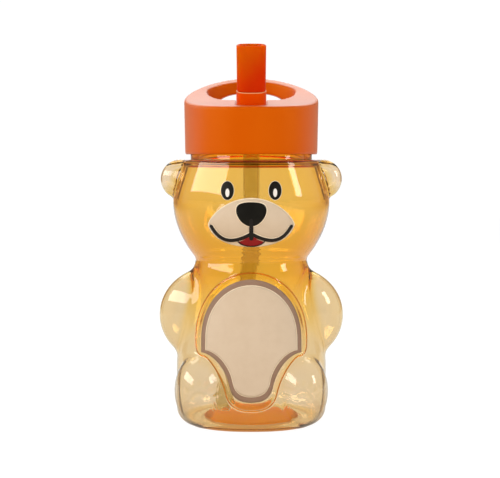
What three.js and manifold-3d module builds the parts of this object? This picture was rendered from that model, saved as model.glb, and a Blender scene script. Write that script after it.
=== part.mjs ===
// Bear-shaped water bottle with a screw lid, a carry loop, a flip spout and a straw.
// Millimetres, +Z up. The bear faces -Y, and the origin is the middle of its footprint.

import * as THREE from "three";
import { mergeVertices } from "three/addons/utils/BufferGeometryUtils.js";
import Module from "manifold-3d";

const wasm = await Module();
wasm.setup();

// Clearances shared by pieces that fit each other
const FIT = 0.3; // between pieces that are pushed or snapped together
const SEAL_FIT = 0.15; // between a soft seal and the faces that it closes

// Bear body: half sizes across the bear and from front to back
const HIP_HALF_WIDTH = 39.4;
const HIP_HALF_DEPTH = 38;
const HIP_Z = 30;
const HIP_SHIFT = 2; // the seat sits behind the bottle's axis
const HIP_SQUARENESS = 2.3; // exponent of the hip's section, where 2 is an ellipse
const CHEST_HALF_WIDTH = 30.2;
const CHEST_HALF_DEPTH = 31;
const CHEST_Z = 78;
const THROAT_HALF_WIDTH = 29;
const THROAT_HALF_DEPTH = 28.6;
const THROAT_Z = 86.3;
const HEAD_HALF_WIDTH = 40.9;
const HEAD_HALF_DEPTH = 38.8;
const HEAD_Z = 116;
const SHOULDER_Z = 137.8;
const SHOULDER_LEDGE = 3.6; // flat step from the collar out to the head's edge
const SHOULDER_ROUND = 1.8;
const WALL = 1.8;

// Foot of the bottle
const HEEL_RADIUS = 8;
const STAND_WIDTH = 5; // flat ring that the bottle stands on
const PUSH_UP_RUN = 4;
const PUSH_UP = 2.5; // the floor's rise inside the standing ring

// Limbs, ears and snout: half sizes, and how far each stands out from the body
const EAR_HALF_WIDTH = 10;
const EAR_HALF_DEPTH = 6;
const EAR_HALF_HEIGHT = 10.2;
const EAR_REACH = 9;
const EAR_TILT = THREE.MathUtils.degToRad(10); // top leaning in, along the head's side
const EAR_Z = 127.6;
const ARM_HALF_WIDTH = 28.3;
const ARM_HALF_DEPTH = 16.5;
const ARM_HALF_HEIGHT = 25.6;
const ARM_REACH = 18;
const ARM_FORWARD = 2;
const ARM_Z = 56.6;
const LEG_HALF_WIDTH = 13.2;
const LEG_HALF_DEPTH = 17;
const LEG_HALF_HEIGHT = 18.5;
const LEG_INSET = 0.2;
const LEG_REACH = 4.5;
const LEG_Z = 20.5;
const SNOUT_HALF_WIDTH = 23;
const SNOUT_HALF_DEPTH = 13.5;
const SNOUT_HALF_HEIGHT = 14;
const SNOUT_REACH = 2.8;
const SNOUT_Z = 108;

// Printed films, each a thin layer just off the body
const FILM_GAP = 0.15;
const FILM_THICKNESS = 0.25;
const BELLY_HALF_WIDTH = 25.3;
const BELLY_TOP = 77.9;
const BELLY_CORNER = 42.5;
const BELLY_BOTTOM = 16.5;
const BELLY_FOOT_HALF = 11;
const BELLY_BORDER = 2.4;
const PANEL_MARGIN = 3.2; // the moulded panel round the belly print
const PANEL_RISE = 0.9;
const EYE_HALF_WIDTH = 2.9;
const EYE_HALF_HEIGHT = 4.5;
const EYE_SPACING = 23.6;
const EYE_RISE = 4.1; // middle of the eyes above the muzzle print
const GLINT_HALF_WIDTH = 1.1;
const GLINT_HALF_HEIGHT = 2.2;
const GLINT_DROP = 1.1;
const MUZZLE_HALF_WIDTH = 21.1;
const MUZZLE_RISE = 10.6; // top of the muzzle print above the snout's middle
const MUZZLE_HEIGHT = 23.6;
const MUZZLE_SIDE_DROP = 13.1; // its widest line below its top
const NOSE_HALF_WIDTH = 7.5;
const NOSE_HEIGHT = 11.8;
const NOSE_DROP = 1.6; // below the muzzle's top
const MOUTH_HALF_WIDTH = 20.4;
const MOUTH_RISE = 10.8; // corners above the muzzle's lower edge
const MOUTH_SAG = 9.6; // how far the curve's handles hang below the corners
const MOUTH_CUSP_RISE = 6.5;
const MOUTH_LINE = 1.4;
const PHILTRUM_RISE = 3;
const TONGUE_SHARE = 0.76; // place along half the mouth where the tongue starts

// Neck finish, and the lid's wall built up from it
const NECK_RADIUS = 29.9;
const NECK_WALL = 2.3;
const NECK_RISE = 8.6; // rim above the lid's lower edge
const COLLAR_LEDGE = 1.8;
const COLLAR_HEIGHT = 2.4;
const THREAD_ROOM = 1.6;
const CAP_SKIRT = 1.2;
const LID_WALL = 2;
const LID_DRAFT = 0.5;
const LID_EDGE = 1.5;
const LID_FRONT_HEIGHT = 23.9;
const LID_SIDE_HEIGHT = 29.2;
const LID_BACK_HEIGHT = 42.2;

// Inner cap, gasket and vent
const GASKET_HEIGHT = 1.5;
const CAP_DISC = 2.2;
const CAP_LIFT = 1; // skirt's edge above the lid's edge
const PLUG_WALL = 2.1;
const PLUG_DEPTH = 5;
const PLUG_CLEARANCE = 0.7;
const SOCKET_WALL = 1.4;
const SOCKET_DEPTH = 10;
const VENT_STEM_RADIUS = 1;
const VENT_HEAD_RADIUS = 3.8;
const VENT_HEAD_HEIGHT = 1;
const VENT_HEAD_EDGE = 0.4;
const VENT_KNOB_RADIUS = 1.7;
const VENT_KNOB_HEIGHT = 1.4;

// Carry loop and the pocket that the spout folds into
const LOOP_BAR = 6;
const LOOP_ARCH_TOP = 33.2;
const LOOP_ARCH_SPRING = 24;
const LOOP_HALF_WIDTH = 19;
const LOOP_WINDOW_Y = 11.6; // where the window under the loop starts
const POCKET_FRONT_Y = -3;
const POCKET_FRONT_HALF = 13;
const POCKET_ARC = THREE.MathUtils.degToRad(40);
const POCKET_SWELL = 6;
const HOLLOW_BACK_Y = 14;

// Flip spout: distances along it start at the hinge
const SPOUT_HALF_WIDTH = 7.35;
const SPOUT_HALF_DEPTH = 6;
const SPOUT_LEAN = THREE.MathUtils.degToRad(16);
const SPOUT_SETBACK = 19.3; // hinge behind the lid's front
const BARREL_RADIUS = 6.2;
const BARREL_HALF_WIDTH = 6.6;
const STEM_TOP = 11.2;
const SPIGOT_RADIUS = 3.9;
const SPIGOT_LENGTH = 8.5;
const SPOUT_BORE_RADIUS = 2.3;
const TRUNNION_RADIUS = 2;
const TRUNNION_LENGTH = 3;
const MOUTHPIECE_LENGTH = 23.4;
const TIP_HALF_WIDTH = 7.1;
const TIP_HALF_DEPTH = 4.1;
const TIP_ROUND = 0.5;
const MOUTHPIECE_WALL = 1.8;
const SPOUT_SEAL_WALL = 2;
const SPOUT_SEAL_PROUD = 0.6; // above the cradle's floor, up to the barrel

// Straw
const STRAW_RADIUS = 3.7;
const STRAW_WALL = 0.8;
const BELLOWS_TOP = 93;
const BELLOWS_LENGTH = 10;
const BELLOWS_RIBS = 5;
const BELLOWS_CREST = 0.8;
const STRAW_FOOT_X = -15;
const STRAW_FOOT_Y = -5;
const STRAW_FOOT_GAP = 3;

// Facets
const OUTER = { sides: 40, rings: 1, limbSides: 20, limbRings: 10 };
const INNER = { sides: 20, rings: 0.5, limbSides: 10, limbRings: 6 };
const BODY_RINGS = { heel: 1, hip: 6, chest: 2, throat: 7, head: 4 };
const LID_SIDES = 36;
const SMALL_SIDES = 16;

// Heights and radii that follow from the sizes above
const COLLAR_RADIUS = NECK_RADIUS + COLLAR_LEDGE;
const CROWN_RADIUS = COLLAR_RADIUS + SHOULDER_LEDGE;
const CROWN_Z = SHOULDER_Z - SHOULDER_ROUND;
const BORE_RADIUS = NECK_RADIUS - NECK_WALL;
const LID_Z = SHOULDER_Z + COLLAR_HEIGHT + FIT;
const CAP_INNER_RADIUS = NECK_RADIUS + THREAD_ROOM;
const CAP_RADIUS = CAP_INNER_RADIUS + CAP_SKIRT;
const LID_INNER_RADIUS = CAP_RADIUS + FIT;
const LID_RADIUS = LID_INNER_RADIUS + LID_WALL;
const GASKET_Z = NECK_RISE + SEAL_FIT;
const CAP_UNDER = GASKET_Z + GASKET_HEIGHT + SEAL_FIT;
const CAP_TOP = CAP_UNDER + CAP_DISC;
const DECK_UNDER = CAP_TOP + FIT;
const DECK_Z = DECK_UNDER + LID_WALL;
const POCKET_RADIUS = LID_RADIUS - LOOP_BAR;
const SPOUT_PIVOT_Y = SPOUT_SETBACK - LID_RADIUS;
const SPOUT_PIVOT_Z = DECK_Z + BARREL_RADIUS + FIT;
const SLOT_HALF_WIDTH = SPOUT_HALF_WIDTH + FIT;
const TRUNNION_REACH = SPOUT_HALF_WIDTH + TRUNNION_LENGTH;
const FLOW_Y = SPOUT_PIVOT_Y + BARREL_RADIUS * Math.sin(SPOUT_LEAN);
const SPOUT_SEAL_RADIUS = SPOUT_BORE_RADIUS + SPOUT_SEAL_WALL;
const MUZZLE_TOP = SNOUT_Z + MUZZLE_RISE;
const MUZZLE_BOTTOM = MUZZLE_TOP - MUZZLE_HEIGHT;
const MUZZLE_SIDE_Z = MUZZLE_TOP - MUZZLE_SIDE_DROP;
const EYE_Z = MUZZLE_TOP + EYE_RISE;
const NOSE_TOP = MUZZLE_TOP - NOSE_DROP;
const NOSE_BOTTOM = NOSE_TOP - NOSE_HEIGHT;
const MOUTH_CORNER_Z = MUZZLE_BOTTOM + MOUTH_RISE;
const ABOVE = LID_BACK_HEIGHT + MOUTHPIECE_LENGTH; // clear of the top of everything

const WIDTHS = {
  hip: HIP_HALF_WIDTH,
  chest: CHEST_HALF_WIDTH,
  throat: THROAT_HALF_WIDTH,
  head: HEAD_HALF_WIDTH,
  crown: CROWN_RADIUS,
};
const DEPTHS = {
  hip: HIP_HALF_DEPTH,
  chest: CHEST_HALF_DEPTH,
  throat: THROAT_HALF_DEPTH,
  head: HEAD_HALF_DEPTH,
  crown: CROWN_RADIUS,
};

const { lerp, smoothstep } = THREE.MathUtils;

// Closed geometry to a solid. A geometry that came out inside out is turned round.
function solid(geometry) {
  const bare = new THREE.BufferGeometry();
  bare.setAttribute("position", geometry.getAttribute("position"));
  bare.setIndex(geometry.getIndex());
  const merged = mergeVertices(bare, 1e-4);
  const vertProperties = new Float32Array(merged.getAttribute("position").array);
  const triVerts = new Uint32Array(merged.getIndex().array);
  const corner = [0, 1, 2].map(() => new THREE.Vector3());
  let volume = 0;
  for (let i = 0; i < triVerts.length; i += 3) {
    corner.forEach((point, k) => point.fromArray(vertProperties, 3 * triVerts[i + k]));
    volume += corner[0].dot(corner[1].clone().cross(corner[2]));
  }
  if (volume < 0) {
    triVerts.reverse();
  }
  return new wasm.Manifold(new wasm.Mesh({ numProp: 3, vertProperties, triVerts }));
}

function join(solids) {
  return solids.reduce((sum, next) => sum.add(next));
}

function meshOf(name, shape, material) {
  const { vertProperties, triVerts } = shape.getMesh();
  const geometry = new THREE.BufferGeometry();
  geometry.setAttribute("position", new THREE.BufferAttribute(new Float32Array(vertProperties), 3));
  geometry.setIndex(new THREE.BufferAttribute(new Uint32Array(triVerts), 1));
  geometry.computeVertexNormals();
  const mesh = new THREE.Mesh(geometry, material);
  mesh.name = name;
  return mesh;
}

// Skin over a stack of rings with the same number of points, closed by a fan at each end.
function loft(rings) {
  const sides = rings[0].length;
  const points = rings.flat();
  const index = [];
  for (let level = 0; level + 1 < rings.length; level += 1) {
    for (let side = 0; side < sides; side += 1) {
      const a = level * sides + side;
      const b = level * sides + ((side + 1) % sides);
      index.push(a, b, b + sides, a, b + sides, a + sides);
    }
  }
  const fan = (ring, first, flip) => {
    const middle = ring.reduce((sum, point) => sum.add(point), new THREE.Vector3());
    points.push(middle.divideScalar(sides));
    for (let side = 0; side < sides; side += 1) {
      const a = first + side;
      const b = first + ((side + 1) % sides);
      index.push(points.length - 1, flip ? b : a, flip ? a : b);
    }
  };
  fan(rings[0], 0, true);
  fan(rings[rings.length - 1], (rings.length - 1) * sides, false);
  const geometry = new THREE.BufferGeometry().setFromPoints(points);
  geometry.setIndex(index);
  return solid(geometry);
}

// Level ring with a rounded section: exponent 2 is an ellipse, more is squarer.
function ovalRing(halfWidth, halfDepth, z, sides, shiftY = 0, exponent = 2) {
  const soften = (value) => Math.sign(value) * Math.abs(value) ** (2 / exponent);
  return Array.from({ length: sides }, (_, side) => {
    const angle = (2 * Math.PI * side) / sides;
    return new THREE.Vector3(
      halfWidth * soften(Math.cos(angle)),
      shiftY + halfDepth * soften(Math.sin(angle)),
      z,
    );
  });
}

function lathe(profile, sides) {
  const points = profile.map(([radius, z]) => new THREE.Vector2(radius, z));
  return solid(new THREE.LatheGeometry(points, sides).rotateX(Math.PI / 2));
}

// Upright rod from one height to another
function rod(radius, fromZ, toZ, x = 0, y = 0, sides = SMALL_SIDES) {
  const geometry = new THREE.CylinderGeometry(radius, radius, toZ - fromZ, sides);
  geometry.rotateX(Math.PI / 2).translate(x, y, (fromZ + toZ) / 2);
  return solid(geometry);
}

// Rod along X, centred
function crossRod(radius, halfLength, y, z, sides = SMALL_SIDES) {
  const geometry = new THREE.CylinderGeometry(radius, radius, 2 * halfLength, sides);
  return solid(geometry.rotateZ(Math.PI / 2).translate(0, y, z));
}

function block(fromX, toX, fromY, toY, fromZ, toZ) {
  const geometry = new THREE.BoxGeometry(toX - fromX, toY - fromY, toZ - fromZ);
  return solid(geometry.translate((fromX + toX) / 2, (fromY + toY) / 2, (fromZ + toZ) / 2));
}

function extrude(shape, depth, curveSegments) {
  return new THREE.ExtrudeGeometry(shape, { depth, curveSegments, bevelEnabled: false });
}

// Outline seen from the front (x, z), drawn out along Y
function frontPrism(shape, fromY, toY, curveSegments = 10) {
  return solid(extrude(shape, toY - fromY, curveSegments).rotateX(Math.PI / 2).translate(0, toY, 0));
}

// Outline seen from above (x, y), drawn up along Z
function planPrism(shape, fromZ, toZ, curveSegments = 10) {
  return solid(extrude(shape, toZ - fromZ, curveSegments).translate(0, 0, fromZ));
}

// Outline seen from the side (y, z), drawn out along X
function sidePrism(shape, halfWidth) {
  const turn = new THREE.Matrix4().makeBasis(
    new THREE.Vector3(0, 1, 0),
    new THREE.Vector3(0, 0, 1),
    new THREE.Vector3(1, 0, 0),
  );
  return solid(extrude(shape, 2 * halfWidth, 1).translate(0, 0, -halfWidth).applyMatrix4(turn));
}

function ellipsoid(centre, halfSizes, facets, tilt = 0) {
  const geometry = new THREE.SphereGeometry(1, facets.limbSides, facets.limbRings);
  geometry.scale(...halfSizes).rotateY(tilt).translate(...centre);
  return solid(geometry);
}

// Half size of the bear at a height, from its sizes at the hip, chest, throat, head and crown
function sizeAt(z, at) {
  if (z <= CHEST_Z) {
    return lerp(at.hip, at.chest, smoothstep(z, HIP_Z, CHEST_Z));
  }
  if (z <= THROAT_Z) {
    return lerp(at.chest, at.throat, ((z - CHEST_Z) / (THROAT_Z - CHEST_Z)) ** 2);
  }
  if (z <= HEAD_Z) {
    return lerp(at.head, at.throat, ((HEAD_Z - z) / (HEAD_Z - THROAT_Z)) ** 2);
  }
  return lerp(at.head, at.crown, ((z - HEAD_Z) / (CROWN_Z - HEAD_Z)) ** 1.5);
}

// Heights of the body's rings, with one on each driving height
function bodyHeights(density) {
  const spans = [
    [HEEL_RADIUS, HIP_Z, BODY_RINGS.heel],
    [HIP_Z, CHEST_Z, BODY_RINGS.hip],
    [CHEST_Z, THROAT_Z, BODY_RINGS.chest],
    [THROAT_Z, HEAD_Z, BODY_RINGS.throat],
    [HEAD_Z, CROWN_Z, BODY_RINGS.head],
  ];
  const heights = spans.flatMap(([from, to, most]) => {
    const steps = Math.ceil(density * most);
    return Array.from({ length: steps }, (_, step) => lerp(from, to, step / steps));
  });
  return [...heights, CROWN_Z];
}

// The bear without its limbs, grown or shrunk square to its surface
function torso(grow, { sides, rings: density }) {
  const ring = (halfWidth, halfDepth, z, at) => {
    const upper = smoothstep(at, HIP_Z, CHEST_Z);
    const exponent = lerp(HIP_SQUARENESS, 2, upper);
    return ovalRing(halfWidth, halfDepth, z, sides, HIP_SHIFT * (1 - upper), exponent);
  };
  const floorRing = (inset, z) => ring(HIP_HALF_WIDTH - inset, HIP_HALF_DEPTH - inset, z - grow, 0);
  const rings = [
    floorRing(HEEL_RADIUS + STAND_WIDTH + PUSH_UP_RUN, PUSH_UP),
    floorRing(HEEL_RADIUS + STAND_WIDTH, 0),
    floorRing(HEEL_RADIUS, 0),
  ];
  for (const degrees of [30, 60]) {
    const turn = THREE.MathUtils.degToRad(degrees);
    const out = (HEEL_RADIUS + grow) * Math.sin(turn) - HEEL_RADIUS;
    const z = HEEL_RADIUS - (HEEL_RADIUS + grow) * Math.cos(turn);
    rings.push(ring(HIP_HALF_WIDTH + out, HIP_HALF_DEPTH + out, z, z));
  }
  const probe = 0.2;
  for (const z of bodyHeights(density)) {
    const below = Math.max(z - probe, HEEL_RADIUS);
    const above = Math.min(z + probe, CROWN_Z);
    const slope = (sizeAt(above, WIDTHS) - sizeAt(below, WIDTHS)) / (above - below);
    const out = grow / Math.hypot(1, slope);
    rings.push(ring(sizeAt(z, WIDTHS) + out, sizeAt(z, DEPTHS) + out, z - slope * out, z));
  }
  for (const degrees of [45, 90]) {
    const turn = THREE.MathUtils.degToRad(degrees);
    const radius = CROWN_RADIUS - SHOULDER_ROUND + (SHOULDER_ROUND + grow) * Math.cos(turn);
    rings.push(ovalRing(radius, radius, CROWN_Z + (SHOULDER_ROUND + grow) * Math.sin(turn), sides));
  }
  return loft(rings);
}

// Ears, arms and legs of one side, and the snout
function limbs(side, grow, facets) {
  const grown = (...halfSizes) => halfSizes.map((half) => half + grow);
  const earX = sizeAt(EAR_Z, WIDTHS) + EAR_REACH - EAR_HALF_WIDTH;
  const armX = CHEST_HALF_WIDTH + ARM_REACH - ARM_HALF_WIDTH;
  const legX = HIP_HALF_WIDTH - LEG_INSET - LEG_HALF_WIDTH;
  const legY = HIP_SHIFT - HIP_HALF_DEPTH - LEG_REACH + LEG_HALF_DEPTH;
  return join([
    ellipsoid(
      [side * earX, 0, EAR_Z],
      grown(EAR_HALF_WIDTH, EAR_HALF_DEPTH, EAR_HALF_HEIGHT),
      facets,
      -side * EAR_TILT,
    ),
    ellipsoid(
      [side * armX, -ARM_FORWARD, ARM_Z],
      grown(ARM_HALF_WIDTH, ARM_HALF_DEPTH, ARM_HALF_HEIGHT),
      facets,
    ),
    ellipsoid(
      [side * legX, legY, LEG_Z],
      grown(LEG_HALF_WIDTH, LEG_HALF_DEPTH, LEG_HALF_HEIGHT),
      facets,
    ),
  ]);
}

function snout(grow, facets) {
  const y = -sizeAt(SNOUT_Z, DEPTHS) - SNOUT_REACH + SNOUT_HALF_DEPTH;
  const halfSizes = [SNOUT_HALF_WIDTH, SNOUT_HALF_DEPTH, SNOUT_HALF_HEIGHT];
  return ellipsoid([0, y, SNOUT_Z], halfSizes.map((half) => half + grow), facets);
}

// Belly outline: a dome on a narrower foot between the legs
function bellyOutline(grow) {
  const half = BELLY_HALF_WIDTH + grow;
  const foot = BELLY_FOOT_HALF + 0.6 * grow;
  const top = BELLY_TOP + grow;
  const corner = BELLY_CORNER - 0.2 * grow;
  const bottom = BELLY_BOTTOM - grow;
  const spring = lerp(corner, top, 0.155);
  const shoulder = lerp(spring, top, 0.55);
  const knee = lerp(bottom, corner, 0.35);
  const shape = new THREE.Shape();
  shape.moveTo(0, bottom);
  shape.bezierCurveTo(0.6 * foot, bottom, 0.9 * foot, lerp(bottom, knee, 0.3), foot, knee);
  shape.bezierCurveTo(1.2 * foot, lerp(knee, corner, 0.6), 0.78 * half, corner, half, corner);
  shape.lineTo(half, spring);
  shape.bezierCurveTo(half, shoulder, 0.55 * half, top, 0, top);
  shape.bezierCurveTo(-0.55 * half, top, -half, shoulder, -half, spring);
  shape.lineTo(-half, corner);
  shape.bezierCurveTo(-0.78 * half, corner, -1.2 * foot, lerp(knee, corner, 0.6), -foot, knee);
  shape.bezierCurveTo(-0.9 * foot, lerp(bottom, knee, 0.3), -0.6 * foot, bottom, 0, bottom);
  return shape;
}

const FRONT_Y = -HIP_HALF_WIDTH - HEAD_HALF_DEPTH; // well in front of the bear

function bottleBody() {
  const panel = frontPrism(bellyOutline(PANEL_MARGIN), FRONT_Y, 0).intersect(torso(PANEL_RISE, OUTER));
  const rim = LID_Z + NECK_RISE;
  const neck = lathe(
    [
      [0, CROWN_Z],
      [COLLAR_RADIUS, CROWN_Z],
      [COLLAR_RADIUS, SHOULDER_Z + COLLAR_HEIGHT],
      [NECK_RADIUS, SHOULDER_Z + COLLAR_HEIGHT],
      [NECK_RADIUS, rim],
      [0, rim],
    ],
    OUTER.sides,
  );
  const outside = join([
    torso(0, OUTER),
    panel,
    neck,
    snout(0, OUTER),
    limbs(-1, 0, OUTER),
    limbs(1, 0, OUTER),
  ]);
  const inside = join([
    torso(-WALL, INNER),
    rod(BORE_RADIUS, CROWN_Z - WALL, rim + WALL, 0, 0, OUTER.sides),
    snout(-WALL, INNER),
    limbs(-1, -WALL, INNER),
    limbs(1, -WALL, INNER),
  ]);
  return outside.subtract(inside);
}

// Thin layer over the body, inside an outline seen from the front
function film(shape, layer, skin) {
  const under = layer * (FILM_GAP + FILM_THICKNESS) + FILM_GAP;
  const sheet = skin(under + FILM_THICKNESS).subtract(skin(under));
  return frontPrism(shape, FRONT_Y, 0).intersect(sheet);
}

const faceSkin = (grow) => torso(grow, OUTER).add(snout(grow, OUTER));
const bellySkin = (grow) => torso(PANEL_RISE + grow, OUTER);

function oval(x, z, halfWidth, halfHeight) {
  const shape = new THREE.Shape();
  shape.absellipse(x, z, halfWidth, halfHeight, 0, 2 * Math.PI);
  return shape;
}

function muzzleOutline() {
  const shape = new THREE.Shape();
  const half = MUZZLE_HALF_WIDTH;
  const side = MUZZLE_SIDE_Z;
  const jowl = lerp(MUZZLE_BOTTOM, side, 0.5);
  const brow = lerp(side, MUZZLE_TOP, 0.3);
  shape.moveTo(0, MUZZLE_BOTTOM);
  shape.bezierCurveTo(0.65 * half, MUZZLE_BOTTOM, 0.93 * half, jowl, half, side);
  shape.bezierCurveTo(0.98 * half, brow, 0.58 * half, MUZZLE_TOP, 0, MUZZLE_TOP);
  shape.bezierCurveTo(-0.58 * half, MUZZLE_TOP, -0.98 * half, brow, -half, side);
  shape.bezierCurveTo(-0.93 * half, jowl, -0.65 * half, MUZZLE_BOTTOM, 0, MUZZLE_BOTTOM);
  return shape;
}

function noseOutline(grow) {
  const half = NOSE_HALF_WIDTH + grow;
  const top = NOSE_TOP + grow;
  const bottom = NOSE_BOTTOM - grow;
  const wide = lerp(top, bottom, 0.35);
  const shape = new THREE.Shape();
  shape.moveTo(0, bottom);
  shape.bezierCurveTo(0.55 * half, bottom, half, lerp(wide, bottom, 0.4), half, wide);
  shape.bezierCurveTo(half, lerp(top, wide, 0.3), 0.75 * half, top, 0, top);
  shape.bezierCurveTo(-0.75 * half, top, -half, lerp(top, wide, 0.3), -half, wide);
  shape.bezierCurveTo(-half, lerp(wide, bottom, 0.4), -0.55 * half, bottom, 0, bottom);
  return shape;
}

// Half of the smile, from its corner in to the cusp under the nose
function smileCurve(side) {
  const handle = MOUTH_CORNER_Z - MOUTH_SAG;
  return new THREE.CubicBezierCurve(
    new THREE.Vector2(side * MOUTH_HALF_WIDTH, MOUTH_CORNER_Z),
    new THREE.Vector2(side * 0.76 * MOUTH_HALF_WIDTH, handle),
    new THREE.Vector2(side * 0.45 * MOUTH_HALF_WIDTH, handle),
    new THREE.Vector2(0, MUZZLE_BOTTOM + MOUTH_CUSP_RISE),
  );
}

// Outline of a line of even width along a flat curve
function strokeOutline(curve, width) {
  const steps = 14;
  const edge = (side) =>
    Array.from({ length: steps + 1 }, (_, step) => {
      const along = curve.getTangent(step / steps);
      const across = new THREE.Vector2(-along.y, along.x).multiplyScalar((side * width) / 2);
      return curve.getPoint(step / steps).add(across);
    });
  return new THREE.Shape([...edge(1), ...edge(-1).reverse()]);
}

function mouthOutlines(width) {
  const philtrum = new THREE.LineCurve(
    new THREE.Vector2(0, NOSE_BOTTOM),
    new THREE.Vector2(0, MUZZLE_BOTTOM + PHILTRUM_RISE),
  );
  return [smileCurve(-1), smileCurve(1), philtrum].map((curve) => strokeOutline(curve, width));
}

function mouthFilm() {
  const line = join(mouthOutlines(MOUTH_LINE).map((shape) => film(shape, 1, faceSkin)));
  return line.subtract(frontPrism(noseOutline(FILM_GAP), FRONT_Y, 0));
}

function tongueFilm() {
  const steps = 6;
  const edge = (side) =>
    Array.from({ length: steps + 1 }, (_, step) =>
      smileCurve(side).getPoint(lerp(TONGUE_SHARE, 1, step / steps)),
    );
  const shape = new THREE.Shape([...edge(-1), ...edge(1).reverse()]);
  const [left, right] = [edge(-1)[0], edge(1)[0]];
  shape.bezierCurveTo(0.9 * right.x, MUZZLE_BOTTOM, 0.9 * left.x, MUZZLE_BOTTOM, left.x, left.y);
  const line = join(
    mouthOutlines(MOUTH_LINE + 2 * FILM_GAP).map((outline) => frontPrism(outline, FRONT_Y, 0)),
  );
  return film(shape, 1, faceSkin).subtract(line);
}

// Height of the lid's scooped top over its lower edge: a parabola through front, side and back
function lidTop(y) {
  const share = y / LID_RADIUS;
  const slope = (LID_BACK_HEIGHT - LID_FRONT_HEIGHT) / 2;
  const bend = (LID_BACK_HEIGHT + LID_FRONT_HEIGHT) / 2 - LID_SIDE_HEIGHT;
  return LID_SIDE_HEIGHT + slope * share + bend * share * share;
}

// Round block whose top follows the scoop
function lidBlank(radius, lower) {
  const height = LID_SIDE_HEIGHT - lower;
  const profile = [[0, 0], [radius - LID_DRAFT, 0]];
  for (const degrees of [0, 30, 60, 90]) {
    const turn = THREE.MathUtils.degToRad(degrees);
    profile.push([
      radius - LID_EDGE * (1 - Math.cos(turn)),
      height - LID_EDGE * (1 - Math.sin(turn)),
    ]);
  }
  profile.push([0.75 * radius, height], [0.5 * radius, height], [0.25 * radius, height], [0, height]);
  const points = profile.map(([x, z]) => new THREE.Vector2(x, z));
  const geometry = new THREE.LatheGeometry(points, LID_SIDES).rotateX(Math.PI / 2);
  const position = geometry.getAttribute("position");
  for (let i = 0; i < position.count; i += 1) {
    const share = position.getZ(i) / height;
    position.setZ(i, share * (lidTop(position.getY(i)) - lower));
  }
  return solid(geometry);
}

// The pocket seen from above: a straight front edge, swelling sides and a back round the lid's axis
function pocketOutline(grow) {
  const radius = POCKET_RADIUS + grow;
  const half = POCKET_FRONT_HALF + grow;
  const front = POCKET_FRONT_Y - grow;
  const sideX = radius * Math.cos(POCKET_ARC);
  const sideY = radius * Math.sin(POCKET_ARC);
  const swellX = sideX + POCKET_SWELL * Math.sin(POCKET_ARC);
  const swellY = sideY - POCKET_SWELL * Math.cos(POCKET_ARC);
  const cornerX = lerp(half, sideX, 0.7);
  const shape = new THREE.Shape();
  shape.moveTo(-half, front);
  shape.lineTo(half, front);
  shape.bezierCurveTo(cornerX, front, swellX, swellY, sideX, sideY);
  shape.absarc(0, 0, radius, POCKET_ARC, Math.PI - POCKET_ARC, false);
  shape.bezierCurveTo(-swellX, swellY, -cornerX, front, -half, front);
  return shape;
}

// Arched window under the carry loop
function archOutline() {
  const half = LOOP_HALF_WIDTH;
  const spring = LOOP_ARCH_SPRING;
  const top = LOOP_ARCH_TOP;
  const shape = new THREE.Shape();
  shape.moveTo(-half, DECK_Z);
  shape.lineTo(half, DECK_Z);
  shape.lineTo(half, spring);
  shape.bezierCurveTo(half, lerp(spring, top, 0.75), 0.6 * half, top, 0, top);
  shape.bezierCurveTo(-0.6 * half, top, -half, lerp(spring, top, 0.75), -half, spring);
  return shape;
}

// Room for the spout, from upright to folded back into the pocket
function spoutRoom() {
  const pivot = new THREE.Vector3(0, SPOUT_PIVOT_Y, SPOUT_PIVOT_Z);
  const sleeve = [0, ABOVE].map((along) =>
    ovalRing(SPOUT_HALF_WIDTH + FIT, SPOUT_HALF_DEPTH + FIT, along, SMALL_SIDES).map((point) =>
      point.applyAxisAngle(new THREE.Vector3(1, 0, 0), SPOUT_LEAN).add(pivot),
    ),
  );
  const back = POCKET_FRONT_Y + FIT;
  const slot = new THREE.Shape([
    new THREE.Vector2(SPOUT_PIVOT_Y, DECK_Z),
    new THREE.Vector2(back, DECK_Z),
    new THREE.Vector2(back, ABOVE),
    new THREE.Vector2(SPOUT_PIVOT_Y - ABOVE * Math.tan(SPOUT_LEAN), SPOUT_PIVOT_Z + ABOVE),
    new THREE.Vector2(SPOUT_PIVOT_Y, SPOUT_PIVOT_Z),
  ]);
  return join([
    loft(sleeve),
    sidePrism(slot, SLOT_HALF_WIDTH),
    crossRod(BARREL_RADIUS + FIT, SLOT_HALF_WIDTH, SPOUT_PIVOT_Y, SPOUT_PIVOT_Z),
    crossRod(TRUNNION_RADIUS + FIT, TRUNNION_REACH + FIT, SPOUT_PIVOT_Y, SPOUT_PIVOT_Z),
  ]);
}

function lidShell() {
  const cheekHalf = TRUNNION_REACH + FIT + LID_WALL;
  const underside = rod(LID_INNER_RADIUS, -FIT, DECK_UNDER, 0, 0, LID_SIDES);
  const hollows = lidBlank(LID_INNER_RADIUS, LID_WALL)
    .intersect(block(-LID_RADIUS, LID_RADIUS, -LID_RADIUS, HOLLOW_BACK_Y, DECK_UNDER - FIT, ABOVE))
    .subtract(block(-cheekHalf, cheekHalf, -LID_RADIUS, LID_RADIUS, 0, ABOVE))
    .subtract(planPrism(pocketOutline(LID_WALL), 0, ABOVE));
  const cuts = [
    underside,
    hollows,
    planPrism(pocketOutline(0), DECK_Z, ABOVE),
    frontPrism(archOutline(), LOOP_WINDOW_Y, 2 * LID_RADIUS),
    spoutRoom(),
    rod(SPOUT_SEAL_RADIUS + FIT, 0, SPOUT_PIVOT_Z, 0, FLOW_Y),
    rod(VENT_KNOB_RADIUS + FIT, 0, SPOUT_PIVOT_Z),
  ];
  return cuts.reduce((shell, cut) => shell.subtract(cut), lidBlank(LID_RADIUS, 0));
}

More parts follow.
